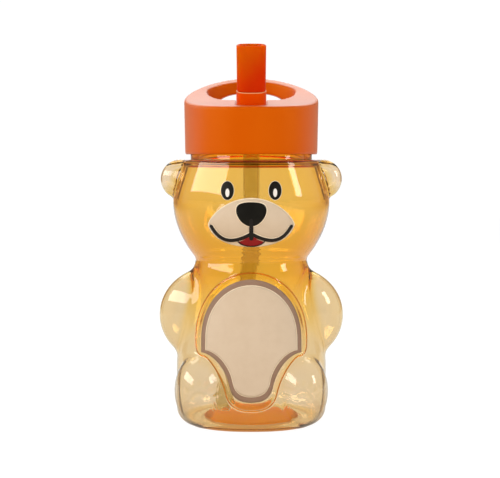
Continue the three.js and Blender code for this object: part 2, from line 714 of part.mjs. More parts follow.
function innerCap() {
  const plugRadius = BORE_RADIUS - PLUG_CLEARANCE;
  const socketTop = CAP_UNDER - SOCKET_DEPTH;
  const cap = lathe(
    [
      [0, CAP_UNDER],
      [plugRadius - PLUG_WALL, CAP_UNDER],
      [plugRadius - PLUG_WALL, CAP_UNDER - PLUG_DEPTH],
      [plugRadius, CAP_UNDER - PLUG_DEPTH],
      [plugRadius, CAP_UNDER],
      [CAP_INNER_RADIUS, CAP_UNDER],
      [CAP_INNER_RADIUS, CAP_LIFT],
      [CAP_RADIUS, CAP_LIFT],
      [CAP_RADIUS, CAP_TOP],
      [0, CAP_TOP],
    ],
    LID_SIDES,
  );
  const socket = STRAW_RADIUS + FIT;
  return cap
    .add(rod(socket + SOCKET_WALL, socketTop, CAP_TOP, 0, FLOW_Y))
    .subtract(rod(socket, socketTop - FIT, CAP_UNDER, 0, FLOW_Y))
    .subtract(rod(SPOUT_BORE_RADIUS, 0, CAP_TOP + FIT, 0, FLOW_Y))
    .subtract(rod(VENT_STEM_RADIUS + FIT, 0, CAP_TOP + FIT));
}

function gasket() {
  const top = GASKET_Z + GASKET_HEIGHT;
  const inner = BORE_RADIUS - FIT;
  return lathe(
    [
      [inner, GASKET_Z],
      [NECK_RADIUS, GASKET_Z],
      [NECK_RADIUS, top],
      [inner, top],
      [inner, GASKET_Z],
    ],
    OUTER.sides,
  );
}

// Umbrella valve: a thin head under the cap, a stem through it and a knob that keeps it there
function ventValve() {
  const head = CAP_UNDER - SEAL_FIT;
  const knob = CAP_TOP + SEAL_FIT;
  return lathe(
    [
      [0, head - VENT_HEAD_HEIGHT],
      [0.5 * VENT_HEAD_RADIUS, head - VENT_HEAD_HEIGHT],
      [VENT_HEAD_RADIUS, head - VENT_HEAD_EDGE],
      [VENT_HEAD_RADIUS, head],
      [VENT_STEM_RADIUS, head],
      [VENT_STEM_RADIUS, knob],
      [VENT_KNOB_RADIUS, knob],
      [VENT_STEM_RADIUS, knob + VENT_KNOB_HEIGHT],
      [0, knob + VENT_KNOB_HEIGHT],
    ],
    SMALL_SIDES,
  );
}

// Soft ring on the inner cap, hollowed on top to the barrel that turns on it
function spoutSeal() {
  return rod(SPOUT_SEAL_RADIUS, CAP_TOP + SEAL_FIT, DECK_Z + SPOUT_SEAL_PROUD, 0, FLOW_Y)
    .subtract(rod(SPOUT_BORE_RADIUS, 0, ABOVE, 0, FLOW_Y))
    .subtract(crossRod(BARREL_RADIUS + FIT, SPOUT_HALF_WIDTH, SPOUT_PIVOT_Y, SPOUT_PIVOT_Z));
}

// Lower half of the spout, with its hinge on the origin and its length along Z
function spoutBase() {
  const stem = loft([
    ovalRing(SPOUT_HALF_WIDTH, SPOUT_HALF_DEPTH, 0, SMALL_SIDES),
    ovalRing(SPOUT_HALF_WIDTH, SPOUT_HALF_DEPTH, STEM_TOP, SMALL_SIDES),
  ]);
  const bottom = -2 * BARREL_RADIUS;
  return stem
    .add(crossRod(BARREL_RADIUS, BARREL_HALF_WIDTH, 0, 0))
    .add(crossRod(TRUNNION_RADIUS, TRUNNION_REACH, 0, 0))
    .add(rod(SPIGOT_RADIUS, 0, STEM_TOP + SPIGOT_LENGTH))
    .subtract(rod(SPOUT_BORE_RADIUS, bottom, ABOVE));
}

// Soft upper half, a flattening sleeve pushed over the spigot
function mouthpiece() {
  const bottom = STEM_TOP + FIT;
  const tip = bottom + MOUTHPIECE_LENGTH;
  const widthAt = (share) => lerp(SPOUT_HALF_WIDTH, TIP_HALF_WIDTH, share);
  const depthAt = (share) => lerp(SPOUT_HALF_DEPTH, TIP_HALF_DEPTH, share);
  const sleeve = loft(
    [0, 0.35, 0.7, 0.96].map((share) =>
      ovalRing(widthAt(share), depthAt(share), lerp(bottom, tip, share), SMALL_SIDES),
    ).concat([ovalRing(TIP_HALF_WIDTH - TIP_ROUND, TIP_HALF_DEPTH - TIP_ROUND, tip, SMALL_SIDES)]),
  );
  const step = STEM_TOP + SPIGOT_LENGTH + FIT;
  const channel = (z) =>
    ovalRing(TIP_HALF_WIDTH - MOUTHPIECE_WALL, TIP_HALF_DEPTH - MOUTHPIECE_WALL, z, SMALL_SIDES);
  return sleeve
    .subtract(rod(SPIGOT_RADIUS + FIT, bottom - FIT, step))
    .subtract(loft([channel(step - FIT), channel(tip + FIT)]));
}

// Straw: straight out of its socket, bent at the bellows, then straight to the floor
function straw() {
  const top = new THREE.Vector3(0, FLOW_Y, LID_Z + CAP_UNDER - FIT);
  const bend = new THREE.Vector3(0, FLOW_Y, BELLOWS_TOP);
  const foot = new THREE.Vector3(STRAW_FOOT_X, STRAW_FOOT_Y, PUSH_UP + WALL + STRAW_FOOT_GAP);
  const middle = bend.clone().setZ(BELLOWS_TOP - BELLOWS_LENGTH / 2);
  const down = foot.clone().sub(middle).normalize();
  const after = middle.clone().addScaledVector(down, BELLOWS_LENGTH / 2);
  const bellows = new THREE.QuadraticBezierCurve3(bend, middle, after);
  const hinge = new THREE.Vector3(0, 0, -1).cross(down).normalize();
  const ring = (centre, along, radius) => {
    const across = hinge.clone().cross(along);
    return Array.from({ length: SMALL_SIDES }, (_, side) => {
      const angle = (2 * Math.PI * side) / SMALL_SIDES;
      return centre
        .clone()
        .addScaledVector(hinge, radius * Math.cos(angle))
        .addScaledVector(across, radius * Math.sin(angle));
    });
  };
  const tube = (radius, crest, steps, spare) => {
    const lower = new THREE.Vector3(0, 0, -1);
    const rings = [ring(top.clone().addScaledVector(lower, -spare), lower, radius)];
    for (let step = 0; step <= steps; step += 1) {
      const share = step / steps;
      const swell = step % 2 === 1 ? crest : 0;
      rings.push(ring(bellows.getPoint(share), bellows.getTangent(share), radius + swell));
    }
    rings.push(ring(foot.clone().addScaledVector(down, spare), down, radius));
    return loft(rings);
  };
  const outside = tube(STRAW_RADIUS, BELLOWS_CREST, 2 * BELLOWS_RIBS, 0);
  return outside.subtract(tube(STRAW_RADIUS - STRAW_WALL, 0, BELLOWS_RIBS, FIT));
}

const plastic = (color, roughness) => new THREE.MeshStandardMaterial({ color, roughness });
const amber = plastic(0xe6a64b, 0.12);
amber.transparent = true;
amber.opacity = 0.45;
const orange = plastic(0xdc6a1e, 0.5);
const white = plastic(0xe9e4da, 0.4);
const silicone = plastic(0xd2500a, 0.45);
const clearSilicone = plastic(0xe8e2d6, 0.5);
const clearStraw = plastic(0xe9d9b8, 0.2);
clearStraw.transparent = true;
clearStraw.opacity = 0.5;
const tanInk = plastic(0xdbc4a8, 0.45);
const brownInk = plastic(0x917461, 0.45);
const blackInk = plastic(0x14140f, 0.35);
const redInk = plastic(0x9c2428, 0.4);
const whiteInk = plastic(0xf6f4ee, 0.4);

const bottle = new THREE.Group();
bottle.add(
  meshOf("bottle_body", bottleBody(), amber),
  meshOf("belly_border_print", film(bellyOutline(0), 0, bellySkin), brownInk),
  meshOf("belly_fill_print", film(bellyOutline(-BELLY_BORDER), 1, bellySkin), tanInk),
  meshOf("muzzle_print", film(muzzleOutline(), 0, faceSkin), tanInk),
  meshOf("nose_print", film(noseOutline(0), 1, faceSkin), blackInk),
  meshOf("mouth_print", mouthFilm(), blackInk),
  meshOf("tongue_print", tongueFilm(), redInk),
  meshOf("straw", straw(), clearStraw),
);
for (const [name, side] of [["left", 1], ["right", -1]]) {
  const eyeX = (side * EYE_SPACING) / 2;
  const eye = oval(eyeX, EYE_Z, EYE_HALF_WIDTH, EYE_HALF_HEIGHT);
  const glint = oval(eyeX, EYE_Z - GLINT_DROP, GLINT_HALF_WIDTH, GLINT_HALF_HEIGHT);
  bottle.add(
    meshOf(`${name}_eye_print`, film(eye, 0, faceSkin), blackInk),
    meshOf(`${name}_eye_glint_print`, film(glint, 1, faceSkin), whiteInk),
  );
}

const lid = new THREE.Group();
lid.position.z = LID_Z;
lid.add(
  meshOf("lid_shell", lidShell(), orange),
  meshOf("lid_inner_cap", innerCap(), white),
  meshOf("lid_gasket", gasket(), clearSilicone),
  meshOf("vent_valve", ventValve(), clearSilicone),
  meshOf("spout_seal", spoutSeal(), clearSilicone),
);

const spout = new THREE.Group();
spout.position.set(0, SPOUT_PIVOT_Y, SPOUT_PIVOT_Z);
spout.rotation.x = SPOUT_LEAN;
spout.add(
  meshOf("spout_base", spoutBase(), silicone),
  meshOf("mouthpiece", mouthpiece(), silicone),
);
lid.add(spout);
bottle.add(lid);

export default bottle;
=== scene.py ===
"""Dresses the bear-shaped water bottle in its plastics, inks and silicone for a studio picture.

Sizes are in millimetres until a mesh is finished, and then it is scaled to metres. The bear faces -Y.
"""

import logging
import math
from collections.abc import Callable, Iterator, Sequence
from dataclasses import dataclass, field, replace
from enum import Enum
from typing import Protocol

import bmesh
import bpy
import numpy as np
from mathutils import Matrix, Vector


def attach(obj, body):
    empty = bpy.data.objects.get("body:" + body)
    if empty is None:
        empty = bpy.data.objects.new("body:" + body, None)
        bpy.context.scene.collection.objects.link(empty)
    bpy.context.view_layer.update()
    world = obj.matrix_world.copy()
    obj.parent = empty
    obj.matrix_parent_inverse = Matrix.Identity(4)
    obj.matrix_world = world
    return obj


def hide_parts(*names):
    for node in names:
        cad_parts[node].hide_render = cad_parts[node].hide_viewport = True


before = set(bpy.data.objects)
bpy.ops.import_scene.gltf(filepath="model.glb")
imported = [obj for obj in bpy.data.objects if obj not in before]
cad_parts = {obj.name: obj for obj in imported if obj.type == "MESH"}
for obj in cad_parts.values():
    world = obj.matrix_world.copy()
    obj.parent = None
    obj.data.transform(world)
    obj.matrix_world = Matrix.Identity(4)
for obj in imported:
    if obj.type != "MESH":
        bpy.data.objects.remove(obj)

LOG = logging.getLogger("bear_bottle")
MM = 0.001
FULL_TURN = 2 * math.pi
RIGHT_ANGLE = math.pi / 2
SEARCH_ROUNDS = 26
TINY = 1e-9
PAD_RADIUS = 24.4
STRAW_Y = -13.99
LID_Z = 140.5
HINGE_Y = -15.7
HINGE_Z = 161.9
SPOUT_LEAN = 16.0

Array = np.ndarray
Colour = tuple[float, float, float, float]
Pair = tuple[float, float]
Triple = tuple[float, float, float]
Profile = list[Pair]


def srgb(red: int, green: int, blue: int) -> Colour:
    """Turns a display colour into the linear colour that shaders use.

    Args:
        red: Red from 0 to 255.
        green: Green from 0 to 255.
        blue: Blue from 0 to 255.

    Returns:
        The linear colour with full alpha.
    """
    shares = [channel / 255 for channel in (red, green, blue)]
    linear = [c / 12.92 if c <= 0.04045 else ((c + 0.055) / 1.055) ** 2.4 for c in shares]
    return (linear[0], linear[1], linear[2], 1.0)


def grey(level: float) -> Colour:
    """Linear grey of one level."""
    return (level, level, level, 1.0)


def mix(first: Array | float, second: Array | float, share: Array | float) -> Array | float:
    """Goes from the first value to the second by a share."""
    return first + (second - first) * share


def smoothstep(values: Array, low: float, high: float) -> Array:
    """Rises smoothly from 0 at low to 1 at high."""
    share = np.clip((values - low) / (high - low), 0.0, 1.0)
    return share * share * (3.0 - 2.0 * share)


def last_true(low: Array, high: Array, test: Callable[[Array], Array]) -> Array:
    """Closes in on the place where a test stops holding.

    Args:
        low: Places where the test holds.
        high: Places where it doesn't.
        test: Says for a guess at every place whether it holds.

    Returns:
        The place of the change, between low and high.
    """
    for _ in range(SEARCH_ROUNDS):
        middle = 0.5 * (low + high)
        holds = test(middle)
        low, high = np.where(holds, middle, low), np.where(holds, high, middle)
    return 0.5 * (low + high)


class Body(Enum):
    """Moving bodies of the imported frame."""

    BOTTLE = "bottle"
    GASKET = "gasket"
    VALVE = "valve"
    LID = "lid"
    SPOUT = "spout"


class Slot(Enum):
    """Material slots of the record."""

    AMBER_BODY = "amber_body"
    ORANGE_LID = "orange_lid"
    INNER_CAP = "inner_cap"
    ORANGE_SPOUT = "orange_spout"
    SOFT_SPOUT = "soft_spout"
    CLEAR_SEAL = "clear_seal"
    CLEAR_STRAW = "clear_straw"
    TAN_INK = "tan_ink"
    BROWN_INK = "brown_ink"
    BLACK_INK = "black_ink"
    RED_INK = "red_ink"
    WHITE_INK = "white_ink"


class Value:
    """A shader socket that takes part in Python arithmetic."""

    def __init__(self, graph: "Graph", socket: bpy.types.NodeSocket) -> None:
        """Keeps the socket and the graph that its Math nodes go into."""
        self.graph = graph
        self.socket = socket

    def _math(self, operation: str, first: "Value | float", second: "Value | float") -> "Value":
        """Adds a Math node for one operation."""
        return self.graph.value("ShaderNodeMath", {"operation": operation}, {0: first, 1: second})

    def __add__(self, other: "Value | float") -> "Value":
        """Adds a value."""
        return self._math("ADD", self, other)

    __radd__ = __add__

    def __sub__(self, other: "Value | float") -> "Value":
        """Takes a value away."""
        return self._math("SUBTRACT", self, other)

    def __rsub__(self, other: "Value | float") -> "Value":
        """Is taken away from a value."""
        return self._math("SUBTRACT", other, self)

    def __mul__(self, other: "Value | float") -> "Value":
        """Multiplies by a value."""
        return self._math("MULTIPLY", self, other)

    __rmul__ = __mul__

    def rise(self, low: float, high: float) -> "Value":
        """Rises smoothly from 0 at low to 1 at high."""
        ends = {"Value": self, "From Min": low, "From Max": high}
        return self.graph.value("ShaderNodeMapRange", {"interpolation_type": "SMOOTHSTEP"}, ends)


Term = Value | float | Colour | Triple
Inputs = dict[str | int, Term]


class Graph:
    """Node tree of one material or of the surroundings."""

    def __init__(self, owner: bpy.types.Material | bpy.types.World) -> None:
        """Empties the owner's node tree and keeps it.

        Args:
            owner: Material or world that the nodes belong to.
        """
        owner.use_nodes = True
        self.owner = owner
        self.tree = owner.node_tree
        self.tree.nodes.clear()

    @classmethod
    def material(cls, name: str) -> "Graph":
        """Starts a new material."""
        return cls(bpy.data.materials.new(name))

    def node(self, kind: str, settings: dict | None = None, inputs: Inputs | None = None) -> bpy.types.Node:
        """Adds a node.

        Args:
            kind: Blender's name of the node type.
            settings: Attributes to set first.
            inputs: Value or link for each socket, by name or number.

        Returns:
            The new node.
        """
        node = self.tree.nodes.new(kind)
        for key, setting in (settings or {}).items():
            setattr(node, key, setting)
        for key, term in (inputs or {}).items():
            if isinstance(term, Value):
                self.tree.links.new(term.socket, node.inputs[key])
            else:
                node.inputs[key].default_value = term
        return node

    def value(
        self, kind: str, settings: dict | None = None, inputs: Inputs | None = None, output: str | int = 0
    ) -> Value:
        """Adds a node and hands out the output that is named or numbered."""
        return Value(self, self.node(kind, settings, inputs).outputs[output])

    def place(self) -> Value:
        """Object coordinates of the surface, in metres."""
        return self.value("ShaderNodeTexCoord", output="Object")

    def along(self, axis: int) -> Value:
        """Object coordinate along one axis, in metres."""
        return self.value("ShaderNodeSeparateXYZ", inputs={0: self.place()}, output=axis)

    def facing(self) -> Value:
        """How far the surface turns away from the eye, from 0 to 1."""
        return self.value("ShaderNodeLayerWeight", inputs={"Blend": 0.5}, output="Facing")

    def direct(self) -> Value:
        """Is 1 where the camera looks straight at the surface, and 0 elsewhere."""
        return self.value("ShaderNodeLightPath", output="Is Camera Ray")

    def noise(self, grain: float, detail: float = 2.0, roughness: float = 0.5) -> Value:
        """Soft noise over the surface.

        Args:
            grain: Size of a blotch in millimetres.
            detail: Octaves of finer noise.
            roughness: Weight of the finer octaves.

        Returns:
            Noise around 0.5.
        """
        scale = 1.0 / (grain * MM)
        inputs = {"Vector": self.place(), "Scale": scale, "Detail": detail, "Roughness": roughness}
        return self.value("ShaderNodeTexNoise", inputs=inputs)

    def blend(self, share: Value | float, first: Value | Colour, second: Value | Colour) -> Value:
        """Mixes two colours by a share of the second."""
        return self.value("ShaderNodeMix", {"data_type": "RGBA"}, {0: share, 6: first, 7: second}, output=2)

    def bump(self, height: Value, depth: float, strength: float) -> Value:
        """Normal roughened by a height from 0 to 1 that stands for a depth in millimetres."""
        inputs = {"Height": height, "Distance": depth * MM, "Strength": strength}
        return self.value("ShaderNodeBump", inputs=inputs)

    def principled(self, inputs: Inputs, volume: Value | None = None) -> bpy.types.Material:
        """Ends the graph in a Principled shader.

        Args:
            inputs: Value or link for each socket of the shader.
            volume: What fills the inside of the piece.

        Returns:
            The finished material.
        """
        ends: Inputs = {"Surface": self.value("ShaderNodeBsdfPrincipled", inputs=inputs)}
        if volume is not None:
            ends["Volume"] = volume
        self.node("ShaderNodeOutputMaterial", inputs=ends)
        return self.owner


class Finish(Protocol):
    """A finish that a piece can be dressed in."""

    @property
    def name(self) -> str:
        """Name of the material."""

    def material(self) -> bpy.types.Material:
        """Builds the material."""


@dataclass(frozen=True)
class AmberPlastic:
    """See-through blow-moulded plastic that deepens with its thickness."""

    name: str = "amber_plastic"
    absorbed: Colour = (0.987, 0.80, 0.0, 1.0)
    density: float = 600.0
    tint: Colour = (0.985, 0.915, 0.90, 1.0)
    drawn_tint: Colour = (0.975, 0.895, 0.87, 1.0)
    roughness: float = 0.025
    wipe_roughness: float = 0.03
    refraction: float = 1.5
    flow_grain: float = 14.0
    flow_depth: float = 0.05
    wipe_grain: float = 5.0

    def material(self) -> bpy.types.Material:
        """Builds the material.

        Returns:
            Clear plastic whose inside takes up the blue and some of the green.
        """
        graph = Graph.material(self.name)
        flow = graph.noise(self.flow_grain, detail=3.0)
        wipe = graph.noise(self.wipe_grain, detail=4.0, roughness=0.6)
        filling = {"Color": self.absorbed, "Density": self.density}
        return graph.principled(
            {
                "Base Color": graph.blend(flow.rise(0.3, 0.75), self.tint, self.drawn_tint),
                "Roughness": wipe.rise(0.45, 0.8) * self.wipe_roughness + self.roughness,
                "IOR": self.refraction,
                "Transmission Weight": 1.0,
                "Normal": graph.bump(flow, self.flow_depth, strength=0.35),
            },
            graph.value("ShaderNodeVolumeAbsorption", inputs=filling),
        )


@dataclass(frozen=True)
class PoolPlastic:
    """Thick cloudy amber in the middle of the floor, with painted shade that browns its two sides and a
    painted glow of its own.
    """

    name: str = "pool_plastic"
    bright: Colour = srgb(255, 178, 44)
    far: Colour = srgb(246, 134, 40)
    # Painted shade: the brown that the pad turns towards its two sides.
    brown: Colour = srgb(132, 74, 32)
    # Painted glow: light given off by the pad, though it is no lamp.
    glow: Colour = (1.0, 0.30, 0.03, 1.0)
    painted_glow_strength: float = 0.25
    radius: float = PAD_RADIUS
    # Share of the radius where the painted side shade begins.
    side_shade_from: float = 0.74
    far_span: Pair = (-12.0, 24.0)
    cloud_grain: float = 7.0
    cloud_depth: float = 0.05
    gloss: float = 0.08
    soak: float = 0.3
    soak_reach: float = 2.0
    soak_colour: Triple = (1.0, 0.35, 0.06)

    def material(self) -> bpy.types.Material:
        """Builds the material.

        Returns:
            Cloudy plastic with a painted glow that stands in for the light reaching it.
        """
        graph = Graph.material(self.name)
        cloud = graph.noise(self.cloud_grain, detail=3.0)
        across = graph.along(0)
        # Share of painted shade, rising towards both sides.
        edge = (across * across).rise((self.side_shade_from * self.radius * MM) ** 2, (self.radius * MM) ** 2)
        near, far = self.far_span
        depth = graph.along(1).rise(near * MM, far * MM)
        middle = graph.blend(depth * 0.9 + cloud * 0.1, self.bright, self.far)
        return graph.principled(
            {
                "Base Color": graph.blend(edge, middle, self.brown),
                "Roughness": cloud * 0.2 + 0.3,
                "Specular IOR Level": self.gloss,
                "Subsurface Weight": self.soak,
                "Subsurface Radius": self.soak_colour,
                "Subsurface Scale": self.soak_reach * MM,
                # Painted glow.
                "Emission Color": self.glow,
                "Emission Strength": self.painted_glow_strength,
                "Normal": graph.bump(cloud, self.cloud_depth, strength=0.3),
            }
        )


@dataclass(frozen=True)
class MouldedPlastic:
    """Opaque moulded plastic with a fine spark-eroded grain and a sheen that grows towards its edges."""

    name: str
    colour: Colour
    pale: Colour
    roughness: float = 0.44
    gloss: float = 0.5
    glow: float = 0.0
    glow_reach: float = 1.2
    glow_colour: Triple = (1.0, 0.35, 0.12)
    satin: float = 0.0
    satin_span: Pair = (0.2, 0.85)
    satin_roughness: float = 0.46
    satin_refraction: float = 1.9
    sheen: Colour = (0.8, 1.0, 0.15, 1.0)
    cloud_grain: float = 22.0
    rub_grain: float = 3.0
    grain: float = 0.35
    grain_depth: float = 0.02

    def material(self) -> bpy.types.Material:
        """Builds the material.

        Returns:
            Grained plastic with slight clouds and rubbed places.
        """
        graph = Graph.material(self.name)
        cloud = graph.noise(self.cloud_grain, detail=3.0)
        grain = graph.noise(self.grain)
        rub = graph.noise(self.rub_grain, detail=4.0, roughness=0.65)
        paleness = cloud.rise(0.35, 0.8) * 0.6 + grain * 0.12
        return graph.principled(
            {
                "Base Color": graph.blend(paleness, self.colour, self.pale),
                "Roughness": rub * 0.10 + grain * 0.06 + (self.roughness - 0.08),
                "Specular IOR Level": self.gloss,
                "Specular Tint": self.sheen,
                "Subsurface Weight": self.glow,
                "Subsurface Radius": self.glow_colour,
                "Subsurface Scale": self.glow_reach * MM,
                "Coat Weight": graph.facing().rise(*self.satin_span) * self.satin,
                "Coat Roughness": self.satin_roughness,
                "Coat IOR": self.satin_refraction,
                "Normal": graph.bump(grain, self.grain_depth, strength=0.5),
            }
        )


@dataclass(frozen=True)
class SoftSilicone:
    """Soft rubber that lets light soak through it, with painted shade that darkens it towards its foot and
    towards +X, away from the light.
    """

    name: str
    colour: Colour
    # Painted shade: the darker colour towards the foot and towards +X.
    painted_shade: Colour
    soak: float = 0.75
    soak_reach: float = 3.0
    soak_colour: Triple = (1.0, 0.28, 0.06)
    clear: float = 0.0
    roughness: float = 0.32
    gloss: float = 0.4
    # Heights in millimetres over which the painted shade gives way to the lit colour.
    foot: float = 172.0
    head: float = 196.0
    shade_slant: float = 0.9
    cloud_grain: float = 9.0
    dust_grain: float = 0.6
    dust_depth: float = 0.03

    def material(self) -> bpy.types.Material:
        """Builds the material.

        Returns:
            Soft rubber with a trace of dust and painted shade.
        """
        graph = Graph.material(self.name)
        cloud = graph.noise(self.cloud_grain)
        # Painted shade: height along a slant that drops towards +X, where the shade is painted deeper.
        lit_height = graph.along(2) - self.shade_slant * graph.along(0)
        height = lit_height.rise(self.foot * MM, self.head * MM)
        dust = graph.noise(self.dust_grain, detail=3.0, roughness=0.6)
        return graph.principled(
            {
                "Base Color": graph.blend(height * 0.85 + cloud * 0.15, self.painted_shade, self.colour),
                "Roughness": dust * 0.14 + (self.roughness - 0.07),
                "Specular IOR Level": self.gloss,
                "Subsurface Weight": self.soak,
                "Subsurface Radius": self.soak_colour,
                "Subsurface Scale": self.soak_reach * MM,
                "Transmission Weight": self.clear,
                "Normal": graph.bump(dust, self.dust_depth, strength=0.3),
            }
        )


@dataclass(frozen=True)
class ClearTubing:
    """Thin frosted tubing, faintly grey."""

    name: str = "clear_tubing"
    colour: Colour = (0.83, 0.79, 0.64, 1.0)
    dull: Colour = (0.79, 0.74, 0.57, 1.0)
    roughness: float = 0.10
    refraction: float = 1.06
    haze_grain: float = 4.0
    haze_depth: float = 0.04

    def material(self) -> bpy.types.Material:
        """Builds the material.

        Returns:
            See-through tubing with a slight haze.
        """
        graph = Graph.material(self.name)
        haze = graph.noise(self.haze_grain, detail=3.0)
        return graph.principled(
            {
                "Base Color": graph.blend(haze.rise(0.3, 0.8), self.colour, self.dull),
                "Roughness": haze * 0.12 + self.roughness,
                "IOR": self.refraction,
                "Transmission Weight": 1.0,
                "Normal": graph.bump(haze, self.haze_depth, strength=0.25),
            }
        )


@dataclass(frozen=True)
class ScreenInk:
    """Flat printed ink with the faint mottle of a screen print."""

    name: str
    colour: Colour
    mottle: Colour
    roughness: float = 0.5
    gloss: float = 0.22
    cloud_grain: float = 6.0
    mesh_grain: float = 0.45
    mesh_depth: float = 0.008

    def material(self) -> bpy.types.Material:
        """Builds the material.

        Returns:
            Ink with the marks of the screen's mesh.
        """
        graph = Graph.material(self.name)
        cloud = graph.noise(self.cloud_grain, detail=4.0, roughness=0.6)
        mesh_marks = graph.noise(self.mesh_grain)
        mottling = cloud.rise(0.35, 0.75) * 0.7 + mesh_marks * 0.2
        return graph.principled(
            {
                "Base Color": graph.blend(mottling, self.colour, self.mottle),
                "Roughness": mesh_marks * 0.12 + (self.roughness - 0.06),
                "Specular IOR Level": self.gloss,
                "Normal": graph.bump(mesh_marks, self.mesh_depth, strength=0.4),
            }
        )


@dataclass(frozen=True)
class StudioPaper:
    """Studio paper that the camera sees as white, lit along its length and flagged dark at both sides."""

    name: str
    base: float
    seen: float
    glows: tuple[tuple[float, Colour], ...]
    flag: Colour = (0.47, 0.33, 0.22, 1.0)
    flag_span: Pair = (0.25, 0.9)

    def material(self) -> bpy.types.Material:
        """Builds the material.

        Returns:
            Paper that gives off its own light.
        """
        graph = Graph.material(self.name)
        along, across = graph.along(1), graph.along(0)
        (start, glow), *others = self.glows
        for end, level in others:
            glow = graph.blend(along.rise(start, end), glow, level)
            start = end
        flag_from, flag_to = self.flag_span
        glow = graph.blend((across * across).rise(flag_from**2, flag_to**2), glow, self.flag)
        return graph.principled(
            {
                "Base Color": grey(self.base),
                "Roughness": 0.9,
                "Specular IOR Level": 0.0,
                "Emission Color": graph.blend(graph.direct(), glow, grey(self.seen)),
                "Emission Strength": 1.0,
            }
        )


AMBER = AmberPlastic()
# Very dark amber for thin rings that paint the dark shade lines along the shoulder's edges.
SHADE_LINE_AMBER = AmberPlastic("shade_line_amber_plastic", density=20000.0)
# Darker amber for the moulded line round the belly panel: the line is real, and its depth of colour is partly
# painted shade along the panel's edge.
BEAD_AMBER = AmberPlastic("bead_amber_plastic", density=6000.0)
POOL = PoolPlastic()
LID_ORANGE = MouldedPlastic(
    "lid_orange", srgb(214, 89, 0), srgb(218, 94, 0), roughness=0.45, gloss=0.26, satin=1.0
)
SPOUT_ORANGE = MouldedPlastic(
    "spout_orange", srgb(224, 74, 0), srgb(228, 82, 0), roughness=0.34, gloss=0.06, glow=0.35, satin=0.6
)
# Pale orange: a painted highlight for the light that the stem's top edge catches.
RING_HIGHLIGHT = MouldedPlastic(
    "ring_highlight_orange", srgb(244, 176, 124), srgb(247, 188, 140), roughness=0.2, satin=1.0
)
CAP_WHITE = MouldedPlastic("cap_white", srgb(236, 232, 222), srgb(226, 221, 209), roughness=0.4, glow=0.3)
SOFT_ORANGE = SoftSilicone("soft_orange", srgb(212, 94, 0), srgb(210, 44, 0), gloss=0.05)
CLEAR_SILICONE = SoftSilicone(
    "clear_silicone", srgb(232, 227, 216), srgb(222, 215, 202), soak_reach=2.0, clear=0.35
)
TUBING = ClearTubing()
TAN_INK = ScreenInk("tan_ink", srgb(222, 204, 179), srgb(217, 198, 172))
BROWN_INK = ScreenInk("brown_ink", srgb(158, 130, 110), srgb(151, 123, 103))
BLACK_INK = ScreenInk("black_ink", srgb(18, 19, 17), srgb(28, 28, 24), roughness=0.42)
LINE_INK = ScreenInk("line_ink", srgb(36, 34, 33), srgb(30, 29, 28))
RED_INK = ScreenInk("red_ink", srgb(160, 34, 38), srgb(150, 28, 33))
CREAM_INK = ScreenInk("cream_ink", srgb(255, 240, 212), srgb(250, 232, 200))
WHITE_INK = ScreenInk("white_ink", srgb(250, 249, 245), srgb(243, 241, 235))
FLOOR_PAPER = StudioPaper(
    "studio_floor",
    base=0.12,
    seen=0.97,
    glows=(
        (-0.06, (0.50, 0.38, 0.27, 1.0)),
        (0.08, (0.72, 0.72, 0.73, 1.0)),
        (0.6, grey(0.78)),
        (2.1, grey(0.95)),
    ),
    flag=(0.44, 0.34, 0.26, 1.0),
)
BACKDROP_PAPER = StudioPaper("studio_backdrop", base=0.0, seen=1.02, glows=((0.0, grey(0.95)),))


